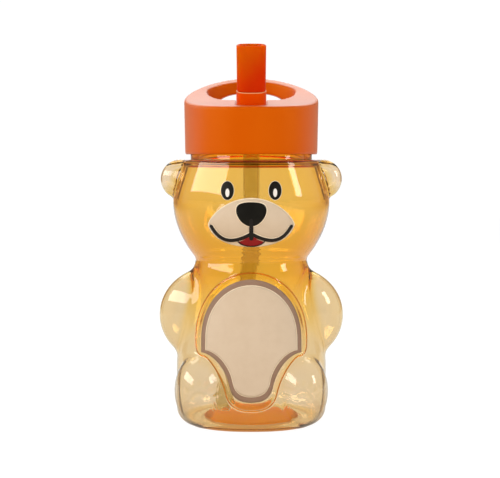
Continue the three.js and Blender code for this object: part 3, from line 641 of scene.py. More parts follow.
class Form:
    """A mesh in millimetres, shaped from rows of points round an axis."""

    def __init__(self, mesh: bpy.types.Mesh) -> None:
        """Keeps the mesh."""
        self.mesh = mesh

    @classmethod
    def from_bmesh(cls, bm: bmesh.types.BMesh) -> "Form":
        """Takes over a bmesh and frees it.

        Args:
            bm: Mesh that has been modelled.

        Returns:
            The same mesh as a form.
        """
        mesh = bpy.data.meshes.new("form")
        bm.to_mesh(mesh)
        bm.free()
        return cls(mesh)

    @classmethod
    def tube(
        cls, rows: int, steps: int, start_pole: bool = False, end_pole: bool = False, ring: bool = False
    ) -> "Form":
        """Spins a straight column of points into a tube of radius 1 whose rows lie at z = 0, 1, 2 and so on.

        Args:
            rows: Number of rows.
            steps: Points round each row.
            start_pole: Closes the first row to a point.
            end_pole: Closes the last row to a point.
            ring: Joins the last row back to the first, as the section of a ring.

        Returns:
            The tube, ready to be placed row by row.
        """
        bm = bmesh.new()
        poles = {0: start_pole, rows - 1: end_pole}
        column = [bm.verts.new((0.0 if poles.get(row) else 1.0, 0.0, row)) for row in range(rows)]
        edges = [bm.edges.new(pair) for pair in zip(column, column[1:])]
        if ring:
            edges.append(bm.edges.new((column[-1], column[0])))
        bmesh.ops.spin(
            bm, geom=column + edges, axis=(0, 0, 1), angle=FULL_TURN, steps=steps, use_merge=True
        )
        bmesh.ops.remove_doubles(bm, verts=bm.verts, dist=1e-5)
        return cls.from_bmesh(bm)

    @property
    def points(self) -> Array:
        """Reads the points of the mesh.

        Returns:
            The points, one row each.
        """
        flat = np.empty(3 * len(self.mesh.vertices))
        self.mesh.vertices.foreach_get("co", flat)
        return flat.reshape(-1, 3)

    @points.setter
    def points(self, places: Array) -> None:
        """Moves every point of the mesh."""
        self.mesh.vertices.foreach_set("co", np.ascontiguousarray(places, dtype=np.float32).ravel())
        self.mesh.update()

    def rows(self) -> tuple[Array, Array]:
        """Row number and turn in radians of each point of a fresh tube."""
        x, y, z = self.points.T
        return np.rint(z).astype(int), np.arctan2(y, x)

    def edit(self, action: Callable[[bmesh.types.BMesh], object]) -> "Form":
        """Runs bmesh operators on the mesh.

        Args:
            action: Work to do on the bmesh.

        Returns:
            This form.
        """
        bm = bmesh.new()
        bm.from_mesh(self.mesh)
        action(bm)
        bm.to_mesh(self.mesh)
        bm.free()
        return self

    def outward(self) -> "Form":
        """Points the faces of a closed mesh outwards, and those of a sheet all one way."""
        return self.edit(lambda bm: bmesh.ops.recalc_face_normals(bm, faces=bm.faces))

    def frontward(self) -> "Form":
        """Turns a sheet's faces to the bear's front.

        Returns:
            This form.
        """
        self.outward()
        if sum(face.normal.y for face in self.mesh.polygons) > 0:
            self.edit(lambda bm: bmesh.ops.reverse_faces(bm, faces=bm.faces))
        return self

    def moved(self, matrix: Matrix) -> "Form":
        """Moves the whole form."""
        self.mesh.transform(matrix)
        return self

    @staticmethod
    def _applied(block: bpy.types.Object) -> "Form":
        """Takes an object away and keeps its mesh with the modifiers applied.

        Args:
            block: Object with modifiers.

        Returns:
            The mesh that they make.
        """
        evaluated = block.evaluated_get(bpy.context.evaluated_depsgraph_get())
        mesh = bpy.data.meshes.new_from_object(evaluated)
        bpy.data.objects.remove(block)
        return Form(mesh)

    def cut(self, cutter: "Form", weld: float = 0.002) -> "Form":
        """Takes another closed form away from this one.

        Args:
            cutter: Form to take away.
            weld: Distance within which the points that are left become one.

        Returns:
            What is left, still closed.
        """
        block, tool = self.linked("block"), cutter.linked("cutter")
        cut = block.modifiers.new("cut", "BOOLEAN")
        cut.operation, cut.object, cut.solver = "DIFFERENCE", tool, "EXACT"
        left = self._applied(block)
        bpy.data.objects.remove(tool)
        return left.edit(lambda bm: bmesh.ops.remove_doubles(bm, verts=bm.verts, dist=weld)).outward()

    def softened(self, voxel: float, rounds: int) -> "Form":
        """Rebuilds the form in even small faces and rounds its edges.

        Args:
            voxel: Size of a face.
            rounds: Rounds of smoothing.

        Returns:
            The softened form.
        """
        block = self.linked("block")
        remesh = block.modifiers.new("skin", "REMESH")
        remesh.mode, remesh.voxel_size = "VOXEL", voxel
        soften = block.modifiers.new("soften", "SMOOTH")
        soften.factor, soften.iterations = 0.5, rounds
        return self._applied(block)

    def linked(self, name: str) -> bpy.types.Object:
        """Puts the mesh into the scene as it is.

        Args:
            name: Name of the object and its mesh.

        Returns:
            The object.
        """
        self.mesh.name = name
        piece = bpy.data.objects.new(name, self.mesh)
        bpy.context.scene.collection.objects.link(piece)
        return piece

    def placed(self, name: str, crease: float = 40.0) -> bpy.types.Object:
        """Scales the mesh to metres and makes it an object at the origin.

        Args:
            name: Name of the piece.
            crease: Angle in degrees past which an edge stays sharp.

        Returns:
            The object.
        """
        self.moved(Matrix.Scale(MM, 4))
        self.mesh.shade_smooth()
        self.mesh.set_sharp_from_angle(angle=math.radians(crease))
        return self.linked(name)


def lathe(profile: Profile, steps: int = 96, centre: Pair = (0.0, 0.0), ring: bool = True) -> Form:
    """Turns a profile of radius and height round an upright axis.

    Args:
        profile: Radius and height of each corner, in order.
        steps: Points round the axis.
        centre: Where the axis stands.
        ring: Whether the profile closes on itself; if not, its ends lie on the axis.

    Returns:
        The turned form.
    """
    form = Form.tube(len(profile), steps, start_pole=not ring, end_pole=not ring, ring=ring)
    row, turn = form.rows()
    radius, height = np.array(profile).T
    x, y = centre[0] + radius[row] * np.cos(turn), centre[1] + radius[row] * np.sin(turn)
    form.points = np.stack([x, y, height[row]], axis=1)
    return form.outward()


def arc(centre: Pair, radius: float, start: float, end: float, steps: int) -> Profile:
    """Points on an arc of a profile, angles in degrees from the outward direction."""
    turns = np.radians(np.linspace(start, end, steps + 1))
    return [(centre[0] + radius * math.cos(t), centre[1] + radius * math.sin(t)) for t in turns]


def bezier(corners: Sequence[Pair], steps: int) -> Array:
    """Points along a cubic curve, without its last.

    Args:
        corners: Start, two handles and end.
        steps: Number of points.

    Returns:
        The points, one row each.
    """
    share = np.linspace(0.0, 1.0, steps, endpoint=False)[:, None]
    a, b, c, d = (np.array(corner, dtype=float) for corner in corners)
    back = 1.0 - share
    return a * back**3 + 3 * b * share * back**2 + 3 * c * share**2 * back + d * share**3


@dataclass(frozen=True)
class ScrewThread:
    """Ridge that winds up the neck and, turned inwards, inside the cap."""

    pitch: float = 4.2
    crest_from: float = 0.7
    crest_to: float = 1.1
    width: float = 1.8

    def wound(self, root: float, crest: float, low: float, turns: float, steps: int) -> Form:
        """Winds the ridge round the axis.

        Args:
            root: Radius that the ridge stands on, a little inside the wall.
            crest: Radius of its crest.
            low: Height of its lower start.
            turns: Turns from end to end.
            steps: Sections along it.

        Returns:
            The closed ridge.
        """
        section = [(root, 0.0), (crest, self.crest_from), (crest, self.crest_to), (root, self.width)]
        climb = self.pitch * turns / steps
        bm = bmesh.new()
        face = bm.faces.new([bm.verts.new((radius, 0.0, low + z)) for radius, z in section])
        bmesh.ops.spin(
            bm, geom=[face], axis=(0, 0, 1), dvec=(0, 0, climb), angle=FULL_TURN * turns, steps=steps
        )
        return Form.from_bmesh(bm).outward()


THREAD = ScrewThread()


class Outline:
    """Closed outline on the bear's front, as x and z, that a point inside it can see all of."""

    def __init__(self, points: Array, centre: Pair) -> None:
        """Keeps the outline and measures it from its centre.

        Args:
            points: Points in order, one row each.
            centre: Point that sees the whole outline.
        """
        self.points = points
        self.centre = np.array(centre)
        offset = points - self.centre
        turn = np.arctan2(offset[:, 1], offset[:, 0])
        order = np.argsort(turn)
        self._turn = turn[order]
        self._reach = np.hypot(offset[:, 0], offset[:, 1])[order]
        slope = np.gradient(self._reach, self._turn)
        self._lean = 1.0 / np.sqrt(1.0 + (slope / self._reach) ** 2)

    @classmethod
    def mirrored(cls, curves: Sequence[tuple[Sequence[Pair], int]], centre: Pair) -> "Outline":
        """Joins curves into the right half of an outline and mirrors it.

        Args:
            curves: Corners and number of points of each curve, from the bottom to the top of the middle line.
            centre: Point that sees the whole outline.

        Returns:
            The whole outline.
        """
        last_corners, _ = curves[-1]
        pieces = [bezier(corners, steps) for corners, steps in curves]
        half = np.concatenate([*pieces, [last_corners[-1]]])
        return cls(np.concatenate([half, half[-2:0:-1] * (-1.0, 1.0)]), centre)

    def beyond(self, x: Array, z: Array) -> Array:
        """Measures how far points lie outside the outline.

        Args:
            x: Places across the bear.
            z: Heights.

        Returns:
            The distances, negative inside.
        """
        dx, dz = x - self.centre[0], z - self.centre[1]
        turn = np.arctan2(dz, dx)
        reach = np.interp(turn, self._turn, self._reach, period=FULL_TURN)
        lean = np.interp(turn, self._turn, self._lean, period=FULL_TURN)
        return (np.hypot(dx, dz) - reach) * lean


@dataclass(frozen=True)
class BellyShape:
    """Belly of the bear: a dome on a narrower foot between the legs."""

    half: float = 25.3
    top: float = 77.9
    bottom: float = 16.5
    foot_half: float = 11.0
    foot_share: float = 0.7
    corner: float = 40.8
    corner_share: float = 0.6
    knee_share: float = 0.35
    spring: float = 48.0
    centre: Pair = (0.0, 49.0)

    def outline(self, over: float, side: float, under: float, corner_round: float = 0.0) -> Outline:
        """Draws the belly larger or smaller than its printed edge.

        Args:
            over: How far the top stands outside the printed edge.
            side: The same for the sides.
            under: The same for the bottom.
            corner_round: How far the corners over the legs are rounded off.

        Returns:
            The outline.
        """
        half, top, bottom, spring = self.half + side, self.top + over, self.bottom - under, self.spring
        foot, corner = self.foot_half + self.foot_share * side, self.corner - self.corner_share * side
        knee = bottom + self.knee_share * (corner - bottom)
        inner, ankle, thigh = half - corner_round, mix(bottom, knee, 0.3), mix(knee, corner, 0.6)
        curves = [
            ([(0.0, bottom), (0.6 * foot, bottom), (0.9 * foot, ankle), (foot, knee)], 18),
            ([(foot, knee), (1.2 * foot, thigh), (0.78 * half, corner), (inner, corner)], 22),
            ([(inner, corner), (half, corner), (half, corner + corner_round), (half, spring)], 8),
            ([(half, spring), (half, spring + 0.55 * (top - spring)), (0.55 * half, top), (0.0, top)], 30),
        ]
        return Outline.mirrored(curves, self.centre)


@dataclass(frozen=True)
class Lobe:
    """Rounded part of the bear: middle, half sizes, lean in degrees about Y and fillet where it joins."""

    centre: Triple
    half: Triple
    lean: float = 0.0
    fillet: float = 3.0

    def on_side(self, side: float) -> "Lobe":
        """The same lobe on the bear's left (1) or right (-1)."""
        x, y, z = self.centre
        return replace(self, centre=(side * x, y, z), lean=side * self.lean)

    def distance(self, x: Array, y: Array, z: Array) -> Array:
        """Measures how far points lie from the lobe.

        Args:
            x: Places across the bear.
            y: Places front to back.
            z: Heights.

        Returns:
            The distances, negative inside.
        """
        dx, dy, dz = x - self.centre[0], y - self.centre[1], z - self.centre[2]
        if self.lean:
            cos, sin = math.cos(math.radians(self.lean)), math.sin(math.radians(self.lean))
            dx, dz = dx * cos - dz * sin, dx * sin + dz * cos
        a, b, c = self.half
        near = np.sqrt((dx / a) ** 2 + (dy / b) ** 2 + (dz / c) ** 2) + TINY
        steep = np.sqrt((dx / a**2) ** 2 + (dy / b**2) ** 2 + (dz / c**2) ** 2) + TINY
        return near * (near - 1.0) / steep


@dataclass
class BearSkin:
    """Outer surface of the bear: a torso with ears, arms, legs, snout and belly panel blended into it."""

    hip: Pair = (39.4, 38.0)
    chest: Pair = (30.2, 31.0)
    throat: Pair = (29.0, 28.6)
    head: Pair = (40.9, 38.8)
    crown: float = 35.3
    crown_power: float = 1.5
    hip_z: float = 30.0
    chest_z: float = 78.0
    throat_z: float = 86.3
    head_z: float = 116.0
    crown_z: float = 136.0
    shoulder_round: float = 1.8
    heel: float = 8.0
    hip_shift: float = 2.0
    hip_squareness: float = 2.3
    throat_taps: tuple[float, ...] = (-1.0, -0.4, 0.4, 1.0)
    slope_probe: float = 0.05
    steepest: float = 2.0
    search: Pair = (4.0, 70.0)
    ear_z: float = 127.6
    ear_sink: float = 1.0
    ear_half: Triple = (10.0, 6.0, 10.2)
    ear_lean: float = 10.0
    ear_fillet: float = 1.6
    arm: Lobe = Lobe((19.9, -2.0, 56.6), (28.3, 16.5, 25.6), fillet=3.0)
    leg: Lobe = Lobe((26.0, -23.5, 20.5), (13.2, 17.0, 18.5), fillet=2.4)
    snout_z: float = 108.0
    snout_stand: float = 2.8
    snout_half: Triple = (23.0, 13.5, 14.0)
    snout_fillet: float = 2.0
    belly: BellyShape = BellyShape()
    panel_margin: Triple = (3.3, 2.8, 4.5)
    panel_round: float = 4.0
    panel_rise: float = 0.55
    panel_edge: float = 0.45
    panel_hollow: Pair = (-3.2, -0.2)
    paw_centre: Pair = (26.0, 18.2)
    paw_rise: float = 0.17
    paw_side: Pair = (5.5, 8.5)
    pad_arch: float = 3.7
    pad_edge: Pair = (0.2, 1.4)
    pad_foot: Pair = (-0.6, 0.4)
    toe_ring: float = 8.6
    toe_steps: int = 7
    toe_half: Pair = (2.0, 1.2)
    toe_edge: Pair = (0.3, 1.3)
    toe_foot: Pair = (-2.5, -1.0)
    lobes: list[Lobe] = field(init=False, default_factory=list)
    panel: Outline = field(init=False)

    def __post_init__(self) -> None:
        """Sets out the limbs on both sides, the snout in front and the panel on the belly."""
        ear_x = float(self.sizes(np.array([self.ear_z]))[0][0]) - self.ear_sink
        ear = Lobe((ear_x, 0.0, self.ear_z), self.ear_half, self.ear_lean, self.ear_fillet)
        for side in (-1.0, 1.0):
            self.lobes += [limb.on_side(side) for limb in (ear, self.arm, self.leg)]
        face_y = float(self.sizes(np.array([self.snout_z]))[1][0])
        snout_y = self.snout_half[1] - self.snout_stand - face_y
        self.lobes.append(Lobe((0.0, snout_y, self.snout_z), self.snout_half, fillet=self.snout_fillet))
        self.panel = self.belly.outline(*self.panel_margin, self.panel_round)

    def _raw_size(self, z: Array, axis: int) -> Array:
        """Measures the torso with a sharp throat and square ends.

        Args:
            z: Heights.
            axis: 0 for its width and 1 for its depth.

        Returns:
            Half its size at each height.
        """
        hip, chest, throat, head = self.hip[axis], self.chest[axis], self.throat[axis], self.head[axis]
        neck = np.clip((z - self.chest_z) / (self.throat_z - self.chest_z), 0, 1) ** 2
        jaw = np.clip((self.head_z - z) / (self.head_z - self.throat_z), 0, 1) ** 2
        top = np.clip((z - self.head_z) / (self.crown_z - self.head_z), 0, 1) ** self.crown_power
        trunk = mix(hip, chest, smoothstep(z, self.hip_z, self.chest_z))
        size = np.where(z <= self.chest_z, trunk, mix(chest, throat, neck))
        size = np.where(z > self.throat_z, mix(head, throat, jaw), size)
        return np.where(z > self.head_z, mix(head, self.crown, top), size)

    def sizes(self, z: Array) -> tuple[Array, Array]:
        """Measures the torso with a soft throat and rounded ends.

        Args:
            z: Heights.

        Returns:
            Half its width and half its depth at each height.
        """
        over = np.clip(z - self.crown_z, 0, self.shoulder_round)
        under = np.clip(self.heel - z, 0, self.heel)
        result = []
        for axis in (0, 1):
            size = sum(self._raw_size(z + step, axis) for step in self.throat_taps) / len(self.throat_taps)
            size = size - (self.shoulder_round - np.sqrt(self.shoulder_round**2 - over**2))
            result.append(size - (self.heel - np.sqrt(self.heel**2 - under**2)))
        return result[0], result[1]

    def torso(self, x: Array, y: Array, z: Array) -> Array:
        """Measures how far points lie from the torso without its limbs.

        Args:
            x: Places across the bear.
            y: Places front to back.
            z: Heights.

        Returns:
            The distances, negative inside.
        """
        width, depth = self.sizes(z)
        probe = self.slope_probe
        slope = (self.sizes(z + probe)[0] - self.sizes(z - probe)[0]) / (2 * probe)
        upper = smoothstep(z, self.hip_z, self.chest_z)
        power = mix(self.hip_squareness, 2.0, upper)
        shift = self.hip_shift * (1.0 - upper)
        near = ((np.abs(x) / width) ** power + (np.abs(y - shift) / depth) ** power) ** (1.0 / power)
        return (near - 1.0) * np.minimum(width, depth) / np.sqrt(1.0 + np.minimum(slope**2, self.steepest**2))

    def distance(self, x: Array, y: Array, z: Array) -> Array:
        """Measures how far points lie from the bear.

        Args:
            x: Places across the bear.
            y: Places front to back.
            z: Heights.

        Returns:
            The distances, negative inside.
        """
        near = self.torso(x, y, z)
        for lobe in self.lobes:
            other = lobe.distance(x, y, z)
            share = np.clip(0.5 + 0.5 * (other - near) / lobe.fillet, 0.0, 1.0)
            near = mix(other, near, share) - lobe.fillet * share * (1.0 - share)
        return near

    def relief(self, x: Array, y: Array, z: Array) -> Array:
        """Height of the moulded belly panel and paws over the surface."""
        outside = smoothstep(self.panel.beyond(x, z), -self.panel_edge, self.panel_edge)
        return np.where(y < 0, self.panel_rise * (1.0 - outside) + self.paw(x, z), 0.0)

    def panel_back(self, x: Array, y: Array, z: Array) -> Array:
        """Depth of the soft hollow behind the belly panel, which keeps the wall even."""
        outside = smoothstep(self.panel.beyond(x, z), *self.panel_hollow)
        return np.where(y < 0, self.panel_rise * (1.0 - outside), 0.0)

    def paw(self, x: Array, z: Array) -> Array:
        """Shapes the shallow paw on the sole of each leg: an arched pad with a ring of toes round it.

        Args:
            x: Places across the bear.
            z: Heights.

        Returns:
            How far the paw stands out at each place.
        """
        dx, dz = np.abs(x) - self.paw_centre[0], z - self.paw_centre[1]
        reach, turn = np.hypot(dx, dz), np.arctan2(dz, dx)
        arch = 1.0 - smoothstep(np.abs(reach - self.pad_arch), *self.pad_edge)
        step = math.pi / self.toe_steps
        swing = (turn + RIGHT_ANGLE) / step
        nearest = np.clip(np.round(swing), 0, 2 * self.toe_steps)
        along = (reach - self.toe_ring) / self.toe_half[0]
        across = (swing - nearest) * step * reach / self.toe_half[1]
        toe = 1.0 - smoothstep(np.sqrt(along**2 + across**2), *self.toe_edge)
        arch, toe = arch * smoothstep(dz, *self.pad_foot), toe * smoothstep(dz, *self.toe_foot)
        return self.paw_rise * (1.0 - smoothstep(dx, *self.paw_side)) * np.maximum(arch, toe)

    def reach(self, turn: Array, z: Array, wall: Array | float = 0.0, relief: bool = True) -> Array:
        """Measures from the bottle's axis out to the surface.

        Args:
            turn: Direction round the axis, in radians.
            z: Height of each point.
            wall: Distance to stay inside the surface.
            relief: Whether the belly panel counts.

        Returns:
            The distance for each direction and height.
        """
        cos, sin = np.cos(turn), np.sin(turn)

        def inside(reach: Array) -> Array:
            """Tells which guesses lie inside the surface."""
            places = reach * cos, reach * sin, z
            return self.distance(*places) + wall - (self.relief(*places) if relief else 0.0) < 0

        return last_true(np.full_like(z, self.search[0]), np.full_like(z, self.search[1]), inside)

    def front(self, x: Array, z: Array, lift: float) -> Array:
        """Finds the bear's front, lifted off it.

        Args:
            x: Places across the bear.
            z: Heights.
            lift: Distance in front of the surface.

        Returns:
            The y of each point.
        """

        def ahead(y: Array) -> Array:
            """Tells which guesses lie in front of the lifted surface."""
            return self.distance(x, y, z) - self.relief(x, y, z) - lift > 0

        return last_true(np.full_like(x, -self.search[1]), np.zeros_like(x), ahead)


@dataclass
class Dresser:
    """Hands finished meshes their material and body, and reports them."""

    made: dict[str, bpy.types.Material] = field(default_factory=dict)

    def material(self, finish: Finish) -> bpy.types.Material:
        """Material of a finish, built once."""
        if finish.name not in self.made:
            self.made[finish.name] = finish.material()
        return self.made[finish.name]

    def dress(
        self, piece: bpy.types.Object, finish: Finish, body: Body, slot: Slot, replaces: Sequence[str] = ()
    ) -> None:
        """Finishes a piece and lets it ride on its body.

        Args:
            piece: Object to dress.
            finish: Finish whose material it gets.
            body: Body that it moves with.
            slot: Record's slot that it takes its finish from; not used.
            replaces: Solids of the frame that it stands for.
        """
        piece.data.materials.clear()
        piece.data.materials.append(self.material(finish))
        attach(piece, body.value)
        if replaces:
            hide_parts(*replaces)
        LOG.info("%s rides on %s in %s", piece.name, body.value, finish.name)


Band = tuple[Array, Callable[[Array, Array], Array]]


@dataclass
class BearBottle:
    """The amber bear: outer skin, thinner limbs, neck finish and lining in one closed wall."""

    skin: BearSkin
    columns: int = 260
    front_crowding: float = 0.5
    heel_rows: tuple[float, float, int] = (8.0, 82.0, 12)
    skin_rows: tuple[Pair, ...] = ((84.0, 0.65), (129.0, 0.75), (136.0, 0.35))
    shoulder_rows: tuple[float, float, int] = (0.0, 80.0, 10)
    lining_rows: tuple[Triple, ...] = ((135.4, 84.0, -2.2), (83.0, 46.0, -1.4), (45.0, 8.5, -1.1))
    lining_heel: tuple[float, float, int] = (8.0, 2.2, 10)
    crown_wall: float = 1.6
    throat_wall: float = 2.4
    hip_wall: float = 0.52
    ear_wall: float = 0.3
    arm_wall: float = 0.55
    leg_wall: float = 0.32
    head_span: Pair = (84.0, 122.0)
    trunk_span: Pair = (40.0, 84.0)
    limb_span: Pair = (30.0, 48.0)
    limb_blend: Pair = (0.5, 6.0)
    ear_from: float = 110.0
    floor: float = 1.9
    floor_rings: tuple[Pair, ...] = ((33.0, -0.4), (28.5, -0.8), (26.0, -0.7), (24.0, -0.4), (22.0, -0.1))
    floor_flat: Pair = (20.0, 10.0)
    stand_inset: float = 8.0
    stand_width: float = 5.0
    push_run: float = 4.0
    push_up: float = 0.9
    neck: float = 29.9
    bore: float = 27.6
    collar: float = 31.7
    shoulder_z: float = 137.8
    collar_top: float = 141.0
    rim_z: float = 149.1
    collar_round: float = 0.3
    neck_fillet: float = 0.4
    rim_round: float = 0.6
    bore_foot: float = 138.0
    bore_round: float = 1.2
    ceiling: float = 136.6
    pad_height: float = 0.6
    pad_dome: float = 2.4
    pad_gap: float = 0.06
    bead_radius: float = 0.36
    # Places of the two dark rings that paint the shade lines along the shoulder.
    shoulder_high_shade: Pair = (34.75, 137.15)
    shoulder_low_shade: Pair = (33.55, 134.3)
    thread_rise: float = 1.2
    thread_root: float = 0.2
    thread_start: float = 0.6
    thread_turns: float = 1.6

    def wall(self, x: Array, y: Array, z: Array) -> Array:
        """Measures the wall, which is thin where the plastic was blown furthest.

        Args:
            x: Places across the bear.
            y: Places front to back.
            z: Heights.

        Returns:
            The thickness at each place.
        """
        upper = mix(self.throat_wall, self.crown_wall, smoothstep(z, *self.head_span))
        body = mix(self.hip_wall, upper, smoothstep(z, *self.trunk_span))
        lower = mix(self.leg_wall, self.arm_wall, smoothstep(z, *self.limb_span))
        limb = np.where(z > self.ear_from, self.ear_wall, lower)
        return mix(body, np.minimum(limb, body), smoothstep(self.skin.torso(x, y, z), *self.limb_blend))

    def _outer_heights(self) -> Array:
        """Spaces the rows on the skin, close together at the ears' tops, the shoulder and the heel.

        Returns:
            Their heights, from the heel up.
        """
        start = self.skin.heel
        stretches = [start * (1.0 - np.cos(np.radians(np.linspace(*self.heel_rows))))]
        for end, step in self.skin_rows:
            stretches.append(np.arange(start, end, step))
            start = end
        over = self.skin.shoulder_round * np.sin(np.radians(np.linspace(*self.shoulder_rows)))
        return np.concatenate([*stretches, self.skin.crown_z + over])

    def _base_rings(self) -> Profile:
        """Rings under the bottle, as inset and height, from the push-up out to the standing ring."""
        ring, top = self.stand_inset + self.stand_width, self.stand_inset + self.stand_width + self.push_run
        return [
            (top + 0.6, self.push_up),
            (top - 0.8, self.push_up - 0.25),
            (ring + 0.8, 0.3),
            (ring - 0.4, 0.0),
            (self.stand_inset + 1.0, 0.0),
        ]

    def _neck_finish(self) -> Profile:
        """Draws the collar, neck, rim and bore.

        Returns:
            Radius and height of each corner, from the shoulder round to the ceiling.
        """
        collar, collar_round, rim_round = self.collar, self.collar_round, self.rim_round
        neck, fillet = self.neck, self.neck_fillet
        return [
            (collar + 1.6, self.shoulder_z),
            *arc((collar + collar_round, self.shoulder_z + collar_round), collar_round, 270, 180, 3),
            *arc((collar - collar_round, self.collar_top - collar_round), collar_round, 0, 90, 3),
            *arc((neck + fillet, self.collar_top + fillet), fillet, 270, 180, 3),
            *arc((neck - rim_round, self.rim_z - rim_round), rim_round, 0, 90, 3),
            *arc((self.bore + rim_round, self.rim_z - rim_round), rim_round, 90, 180, 3),
            (self.bore, self.collar_top),
            *arc((self.bore + self.bore_round, self.bore_foot), self.bore_round, 180, 270, 6),
            (collar + 1.2, self.ceiling),
        ]

    def _bands(self) -> list[Band]:
        """Lists the bands of rows from the push-up, up the outside, over the rim and down to the floor.

        Returns:
            The heights of each band's rows, and a measure from the axis for each direction and row.
        """
        base, base_z = np.array(self._base_rings()).T
        outer = self._outer_heights()
        finish, finish_z = np.array(self._neck_finish()).T
        stretches = [np.arange(*rows) for rows in self.lining_rows]
        lining = np.concatenate([*stretches, np.linspace(*self.lining_heel)])
        rings = [*self.floor_rings, *((reach, 0.0) for reach in self.floor_flat)]
        ground, dip = np.array(rings).T
        return [
            (base_z, lambda turn, row: self._floor_reach(turn, base[row])),
            (outer, lambda turn, row: self.skin.reach(turn, outer[row])),
            (finish_z, lambda turn, row: finish[row]),
            (lining, lambda turn, row: self._lining_reach(turn, lining[row])),
            (self.floor + dip, lambda turn, row: self._floor_reach(turn, self.skin.hip[0] - ground[row])),
        ]

    def _floor_reach(self, turn: Array, inset: Array) -> Array:
        """Measures from the axis to rings that lie inside the hips' outline.

        Args:
            turn: Direction round the axis, in radians.
            inset: How far inside the outline each ring lies.

        Returns:
            The distance for each direction.
        """
        cos, sin = np.cos(turn), np.sin(turn)
        width, depth = self.skin.hip[0] - inset, self.skin.hip[1] - inset
        power = self.skin.hip_squareness

        def inside(reach: Array) -> Array:
            """Tells which guesses lie inside the ring."""
            x, y = np.abs(reach * cos), np.abs(reach * sin - self.skin.hip_shift)
            return (x / width) ** power + (y / depth) ** power < 1.0

        return last_true(np.zeros_like(turn), np.full_like(turn, self.skin.search[1]), inside)

    def _lining_reach(self, turn: Array, z: Array) -> Array:
        """Measures from the axis to the inside of the wall.

        Args:
            turn: Direction round the axis, in radians.
            z: Heights.

        Returns:
            The distance for each direction and height.
        """
        outside = self.skin.reach(turn, z, relief=False)
        x, y = outside * np.cos(turn), outside * np.sin(turn)
        wall = self.wall(x, y, z) - self.skin.panel_back(x, y, z)
        return self.skin.reach(turn, z, wall, relief=False)

    def shell(self) -> Form:
        """Models the bear's wall, with its columns closer together at the front.

        Returns:
            The closed wall.
        """
        bands = self._bands()
        rows = sum(len(heights) for heights, _ in bands) + 2
        form = Form.tube(rows, self.columns, start_pole=True, end_pole=True)
        row, turn = form.rows()
        ahead = np.arctan2(np.sin(turn + RIGHT_ANGLE), np.cos(turn + RIGHT_ANGLE))
        turn = ahead - self.front_crowding * np.sin(ahead) - RIGHT_ANGLE
        places = np.zeros((len(row), 3))
        places[row == 0] = (0.0, self.skin.hip_shift, self.push_up)
        places[row == rows - 1] = (0.0, self.skin.hip_shift, self.floor)
        first = 1
        for heights, measure in bands:
            select = (row >= first) & (row < first + len(heights))
            index, around = row[select] - first, turn[select]
            reach = measure(around, index)
            x, y = reach * np.cos(around), reach * np.sin(around)
            places[select] = np.stack([x, y, heights[index]], axis=1)
            first += len(heights)
        form.points = places
        return form.outward()

    def pad(self) -> Form:
        """Models the thick pad in the middle of the floor, where the plastic was pinched off.

        Returns:
            The slightly domed pad.
        """
        low, high, edge = self.floor + self.pad_gap, self.floor + self.pad_height, PAD_RADIUS
        profile = [(0.0, low), (edge - 1.0, low), (edge, low + 0.1), (edge - 0.4, high - 0.1)]
        for share in np.linspace(0.95, 0.0, 14):
            profile.append((edge * share, high + self.pad_dome * (1.0 - share * share)))
        return lathe(profile, 120, (0.0, self.skin.hip_shift), ring=False)

    def bead(self) -> Form:
        """Models the fine raised line round the belly panel, dressed in darker amber that is partly painted
        shade.

        Returns:
            The closed line.
        """
        path = self.skin.panel.points
        form = Form.tube(len(path), 10, ring=True)
        row, turn = form.rows()
        along = np.roll(path, -1, axis=0) - np.roll(path, 1, axis=0)
        along /= np.linalg.norm(along, axis=1)[:, None]
        x, z = path.T
        centre = np.stack([x, self.skin.front(x, z, 0.0), z], axis=1)
        side = np.stack([-along[:, 1], np.zeros(len(path)), along[:, 0]], axis=1)
        round_path = np.cos(turn)[:, None] * side[row] + np.sin(turn)[:, None] * np.array([0.0, 1.0, 0.0])
        form.points = centre[row] + self.bead_radius * round_path
        return form.outward()

    def shoulder_ring(self, place: Pair) -> Form:
        """Models a fine dark ring round the shoulder, at a radius and height, that paints a line of shade
        along the shoulder's edge.
        """
        return lathe(arc(place, self.bead_radius, 0, 330, 11), 160)

    def thread(self) -> Form:
        """Models the screw thread round the neck."""
        root, crest = self.neck - self.thread_root, self.neck + self.thread_rise
        return THREAD.wound(root, crest, self.collar_top + self.thread_start, self.thread_turns, 150)

    def dress(self, dresser: Dresser) -> None:
        """Builds the bear and hands it to the dresser.

        Args:
            dresser: Gives each piece its finish and body.
        """
        body, slot = Body.BOTTLE, Slot.AMBER_BODY
        dresser.dress(self.shell().placed("bear_wall", 60.0), AMBER, body, slot, ["bottle_body"])
        dresser.dress(self.pad().placed("floor_pad", 50.0), POOL, body, slot)
        dresser.dress(self.bead().placed("panel_bead", 60.0), BEAD_AMBER, body, slot)
        # Dark rings of painted shade along the shoulder's edges.
        for name, place in (("shoulder_high_shade", self.shoulder_high_shade), ("shoulder_low_shade", self.shoulder_low_shade)):
            dresser.dress(self.shoulder_ring(place).placed(name, 60.0), SHADE_LINE_AMBER, body, slot)
        dresser.dress(self.thread().placed("neck_thread", 30.0), AMBER, body, slot)


Film = tuple[bpy.types.Object, ScreenInk, Slot, Sequence[str]]


